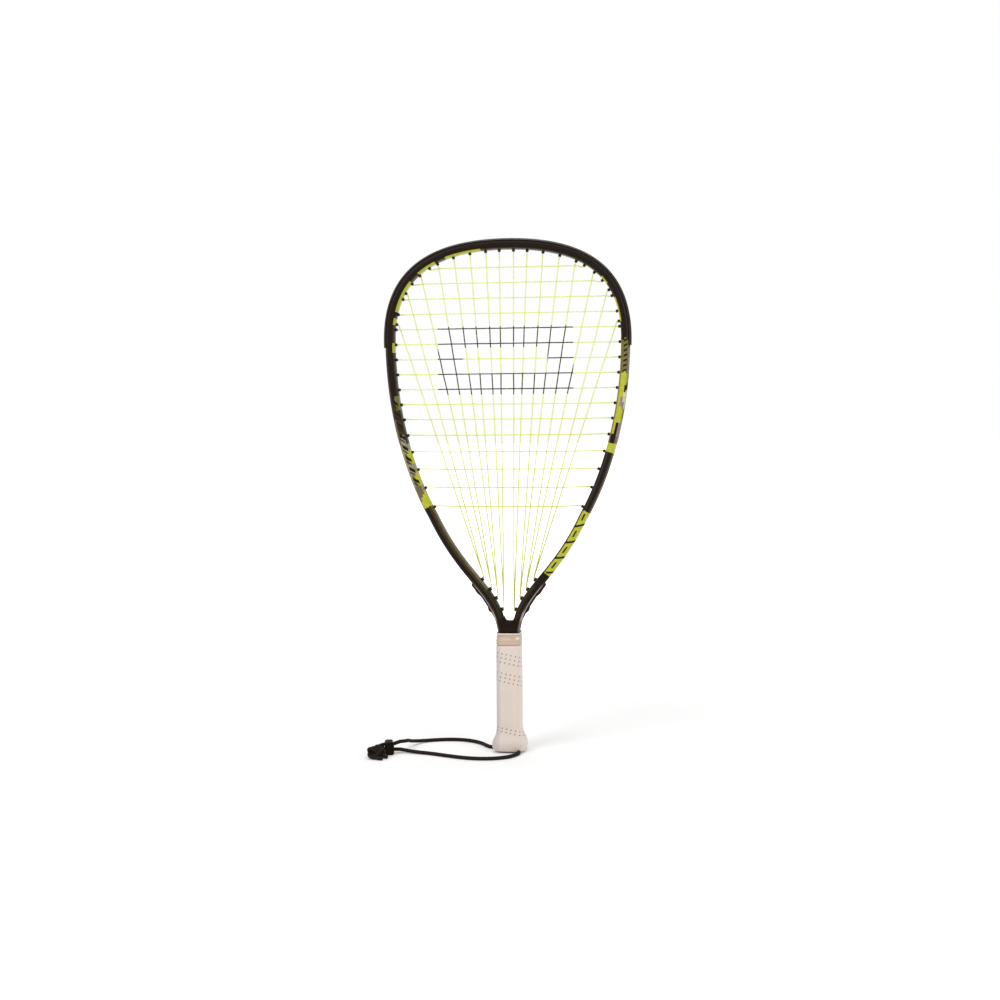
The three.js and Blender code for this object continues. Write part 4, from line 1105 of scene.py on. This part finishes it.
def main_ends(main, side):
    top, foot = MAIN_AT[main, side], THROAT_AT[main // 2, side]
    deep = (-1 if main % 2 == 0 else 1) * PAIR / 2
    return top, foot, deep, top.at(-HALF - NOSE - LEAD), foot.at(-HALF - THROAT_NOSE - LEAD, deep)


def main_order(main, side):
    return len(MAINS) + main if side > 0 else len(MAINS) - 1 - main


def wave(crossings):
    """Points between crossings, swinging smoothly from one to the next"""
    made = [crossings[0]]
    for a, b in zip(crossings, crossings[1:]):
        for k in range(1, WAVE_PARTS + 1):
            t = k / WAVE_PARTS
            point = a.lerp(b, t)
            point.y = a.y + (b.y - a.y) * smoothstep(0, 1, t)
            made.append(point)
    return made


def crossing(main, side, cross):
    """Where a main string passes a cross string, if it does, on its own side of the bed"""
    _, _, _, start, end = main_ends(main, side)
    height = HEIGHTS[cross]
    if height > start.z - 2 * STRING:
        return None
    point = start.lerp(end, (start.z - height) / (start.z - end.z))
    point.y = STRING * (1 if (main_order(main, side) + cross) % 2 == 0 else -1)
    return point


def main_run(main, side):
    top, foot, deep, start, end = main_ends(main, side)
    passed = [crossing(main, side, cross) for cross in range(CROSSES)]
    return [top.at(LANE), *wave([start, *filter(None, passed), end]), foot.at(LANE, deep)]


def lane(first, last, deep):
    start, end = first.at(LANE, deep, LANE_TURN), last.at(LANE, deep, -LANE_TURN)
    low, high = sorted((first.along, last.along))
    inner = [
        station for station in ring_places(first.side, low, high)[1:-1]
        if (station.middle - first.middle).length > 2 * LANE_TURN
        and (station.middle - last.middle).length > 2 * LANE_TURN
    ]
    return [start, *(station.at(LANE, deep) for station in inner), end]


def soften(points):
    """Rounds a path's corners where it turns sharply"""
    made = [points[0]]
    for before, point, after in zip(points, points[1:], points[2:]):
        if (point - before).angle(after - point, 0) > SHARP_TURN:
            made += cut_corner(before, point, after, TURN_RADIUS, TURN_STEPS)
        else:
            made.append(point)
    return made + [points[-1]]


def lay_string(points, name, node):
    shell = Shell()
    lay_tube(shell, soften(points), STRING, STRING_SIDES)
    settle(shell, name, "string_yellow", node, 80)


def main_string():
    halves = []
    for side in SIDES:
        points = []
        for main in range(len(MAINS)):
            run = main_run(main, side)
            points += run if main % 2 == 0 else run[::-1]
            if main % 2 == 1 and main < len(MAINS) - 1:
                points += lane(MAIN_AT[main, side], MAIN_AT[main + 1, side], -LANE_OFFSET)
        last = MAIN_AT[len(MAINS) - 1, side]
        halves.append(points + [last.at(LANE, -LANE_OFFSET, down) for down in (LANE_TURN, TAIL)])
    over = [MAIN_AT[0, side].at(LANE, -LANE_OFFSET, -LANE_TURN) for side in SIDES]
    lay_string([*halves[0][::-1], *over, *halves[1]], "main_string_round", "main_string")


def cross_run(cross, start, end):
    """A cross string from nose to nose, opposite each main string that it passes"""
    a, b = start.at(-HALF - NOSE - LEAD), end.at(-HALF - NOSE - LEAD)
    knots = []
    for side in SIDES:
        for main in range(len(MAINS)):
            point = crossing(main, side, cross)
            if point is not None and min(a.x, b.x) < point.x < max(a.x, b.x):
                knots.append(Vector((point.x, -point.y, HEIGHTS[cross])))
    knots.sort(key=lambda point: point.x * (b.x - a.x))
    return [start.at(LANE), *wave([a, *knots, b]), end.at(LANE)]


def cross_string():
    points = [CROSS_AT[0, -1].at(LANE, LANE_OFFSET, down) for down in (-TAIL, -LANE_TURN)]
    for cross in range(CROSSES):
        side = -1 if cross % 2 == 0 else 1
        start, end = CROSS_AT[cross, side], CROSS_AT[cross, -side]
        points += cross_run(cross, start, end)
        if cross < CROSSES - 1:
            points += lane(end, CROSS_AT[cross + 1, -side], LANE_OFFSET)
        else:
            points += [end.at(LANE, LANE_OFFSET, down) for down in (LANE_TURN, TAIL)]
    lay_string(points, "cross_string_round", "cross_string")


# Handle

def handle_outline():
    """Eight-sided grip outline with rounded corners, from the middle of the front to the right and round"""
    half_x, half_y = GRIP_HALF
    soft = CHAMFER * (1 - math.sqrt(0.5))
    right = [(half_x - CHAMFER, half_y), (half_x - soft, half_y - soft), (half_x, half_y - CHAMFER)]
    corners = []
    for x, y in ((1, -1), (1, 1), (-1, 1), (-1, -1)):
        near = right if x * y < 0 else right[::-1]
        corners += [Vector((x * a, y * b)) for a, b in near]
    shape = rounded(corners, CHAMFER * GRIP_CORNER_SHARE, 4)
    dense = []
    for k, point in enumerate(shape):
        after = shape[(k + 1) % len(shape)]
        parts = max(1, round((after - point).length / OUTLINE_STEP))
        dense += [point.lerp(after, part / parts) for part in range(parts)]
    return dense


def flare_at(height):
    share = height / FLARE_HEIGHT
    if share >= 1:
        return 0
    k, t = table_step(FLARE_SHARES, share)
    outs = [out for _, out in FLARE_SHARES]
    low, high = outs[k - 1], outs[k]
    before = outs[k - 2] if k > 1 else low
    after = outs[k + 1] if k + 1 < len(outs) else high
    bend = t * (1 - t) * 0.5 * ((low - before) * (1 - t) - (after - high) * t)
    return FLARE_OUT * (low + (high - low) * t + bend)


def around_lengths(outline):
    """The length round the outline from the middle of the front, right positive"""
    runs = runs_of(outline)
    total = runs[-1] + (outline[0] - outline[-1]).length
    front = min(range(len(outline)), key=lambda k: outline[k].x ** 2 + (outline[k].y + GRIP_HALF[1]) ** 2)
    shifted = [run - runs[front] for run in runs]
    return [run - total if run > total / 2 else run + total if run < -total / 2 else run for run in shifted]


GRIP_OUTLINE = handle_outline()
GRIP_ROUND = around_lengths(GRIP_OUTLINE)


def sleeve(levels, wall, name, slot_name, node):
    """A closed sleeve round the handle, up the outside and down the inside, from heights and insets"""
    inside = [(height, inset + wall) for height, inset in reversed(levels)]
    rings, uvs = [], []
    for height, inset in [*levels, *inside]:
        moved = drawn_in(GRIP_OUTLINE, inset - flare_at(height))
        rings.append([Vector((*point, height)) for point in moved])
        uvs.append([(run, height) for run in GRIP_ROUND])
    shell = Shell()
    shell.rings(rings, uvs, closed=True)
    settle(shell, name, slot_name, node, 70)


def even_heights(low, high, steps):
    """Even shares from 0 to 1, with the heights that they reach"""
    return [(k / steps, low + (high - low) * k / steps) for k in range(steps + 1)]


def grip_wrap():
    levels = []
    for _, height in even_heights(WRAP_BOTTOM, WRAP_TOP, WRAP_STEPS):
        edge = min(height - WRAP_BOTTOM, WRAP_TOP - height)
        levels.append((height, WRAP_HEM * (1 - smoothstep(0, WRAP_EDGE, edge))))
    sleeve(levels, WRAP * 0.8, "grip_leather", "grip_beige", "grip_wrap")


def finishing_tape():
    """Tape with laps and a fold, its edges drawn in"""
    levels = []
    for t, height in even_heights(WRAP_TOP + GAP, TAPE_TOP, TAPE_STEPS):
        lap = TAPE_LAP * (0.5 + 0.5 * math.cos(t * 2 * math.pi * TAPE_LAPS))
        fold = TAPE_FOLD * smoothstep(*TAPE_FOLD_AT, t)
        hem = TAPE_HEM * (1 - smoothstep(0, TAPE_HEM_SHARE, min(t, 1 - t)))
        levels.append((height, lap + fold + hem - TAPE_OUT))
    sleeve(levels, WRAP * 0.7, "tape_band", "tape_tan", "finishing_tape")


def grip_collar():
    stretch = even_heights(TAPE_TOP + GAP, COLLAR_TOP, COLLAR_STEPS)
    levels = [(height, COLLAR_IN + COLLAR_CROWN * (2 * t - 1) ** 4) for t, height in stretch]
    sleeve(levels, COLLAR_WALL, "collar_ring", "collar_white", "grip_collar")


# Nodes kept as they are, some with softened edges

SOFT_EDGES = {"cord_lock_body": 0.0004, "cord_lock_button": 0.0003, "butt_cap": 0.0003}
SOFT_ANGLE = math.radians(30)


def kept_nodes():
    slots = {row["node"]: row["material_slot"] for row in frame["record"]["subparts"]}
    for name, node in NODES.items():
        if node.hide_render:
            continue
        node.data.materials.clear()
        node.data.materials.append(MATERIALS[slots[name]])
        if name in SOFT_EDGES:
            bevel = node.modifiers.new("soft edges", "BEVEL")
            bevel.width, bevel.segments = SOFT_EDGES[name], 2
            bevel.limit_method, bevel.angle_limit = "ANGLE", SOFT_ANGLE


# Studio

WORLD_LIGHT = 0.45
FLOOR_RADIUS = 30
GLOW_DISTANCES, GLOW = (0.25, 1.2), (0.12, 1.0)
LAMP_TARGET = (0, 0, 0.28)
LAMPS = (
    ("key", (-1.2, -1.6, 1.6), (1.2, 1.2), 25),
    ("fill", (1.5, -1.2, 0.9), (1.0, 1.4), 11),
    ("top", (0.1, 0.4, 2.2), (1.6, 1.6), 20),
)


def studio():
    """A world that is white where it is seen and lights less"""
    world = bpy.data.worlds.new("studio")
    bpy.context.scene.world = world
    world.use_nodes = True
    world.node_tree.nodes.clear()
    w = Weaver(world.node_tree)
    lit, white = (
        w.add("ShaderNodeBackground", (("Color", (1, 1, 1, 1)), ("Strength", strength)))
        for strength in (WORLD_LIGHT, 1.0)
    )
    mixed = w.add("ShaderNodeMixShader", enumerate((w.seen(), lit, white)))
    out = world.node_tree.nodes.new("ShaderNodeOutputWorld")
    w.link(mixed, out.inputs["Surface"])


def lamp(name, place, size, power):
    data = bpy.data.lights.new(name, "AREA")
    data.shape = "RECTANGLE"
    data.size, data.size_y = size
    data.energy = power
    body = put(name, data)
    body.location = place
    body.rotation_mode = "QUATERNION"
    body.rotation_quaternion = (Vector(LAMP_TARGET) - Vector(place)).to_track_quat("-Z", "Y")


def floor():
    """A wide white floor that glows away from the racket, where it is seen"""
    mesh = bpy.data.meshes.new("floor")
    made = bmesh.new()
    bmesh.ops.create_circle(made, cap_ends=True, radius=FLOOR_RADIUS, segments=96)
    made.to_mesh(mesh)
    made.free()
    w = Paint("floor", (0.85, 0.85, 0.85), 0.9, Specular_IOR_Level=0.1, Emission_Color=(1, 1, 1, 1))
    x, y, _ = w.split(w.where)
    glow = w.times(w.seen(), w.ramp(w.away(x, y), *GLOW_DISTANCES, *GLOW))
    w.link(glow, w.shader["Emission Strength"])
    mesh.materials.append(MATERIALS["floor"])
    put("floor", mesh)


camera()
tether_set()
frame_hoop()
throat_bridge()
bumper_guard()
side_strip(-1, "side_grommets_left", "grommet_strip_left")
side_strip(1, "side_grommets_right", "grommet_strip_right")
throat_strip(-1, "throat_moulding_left", "throat_grommets_left")
throat_strip(1, "throat_moulding_right", "throat_grommets_right")
main_string()
cross_string()
grip_wrap()
finishing_tape()
grip_collar()
kept_nodes()
studio()
for row in LAMPS:
    lamp(*row)
floor()

bpy.context.scene.view_settings.view_transform = "Standard"
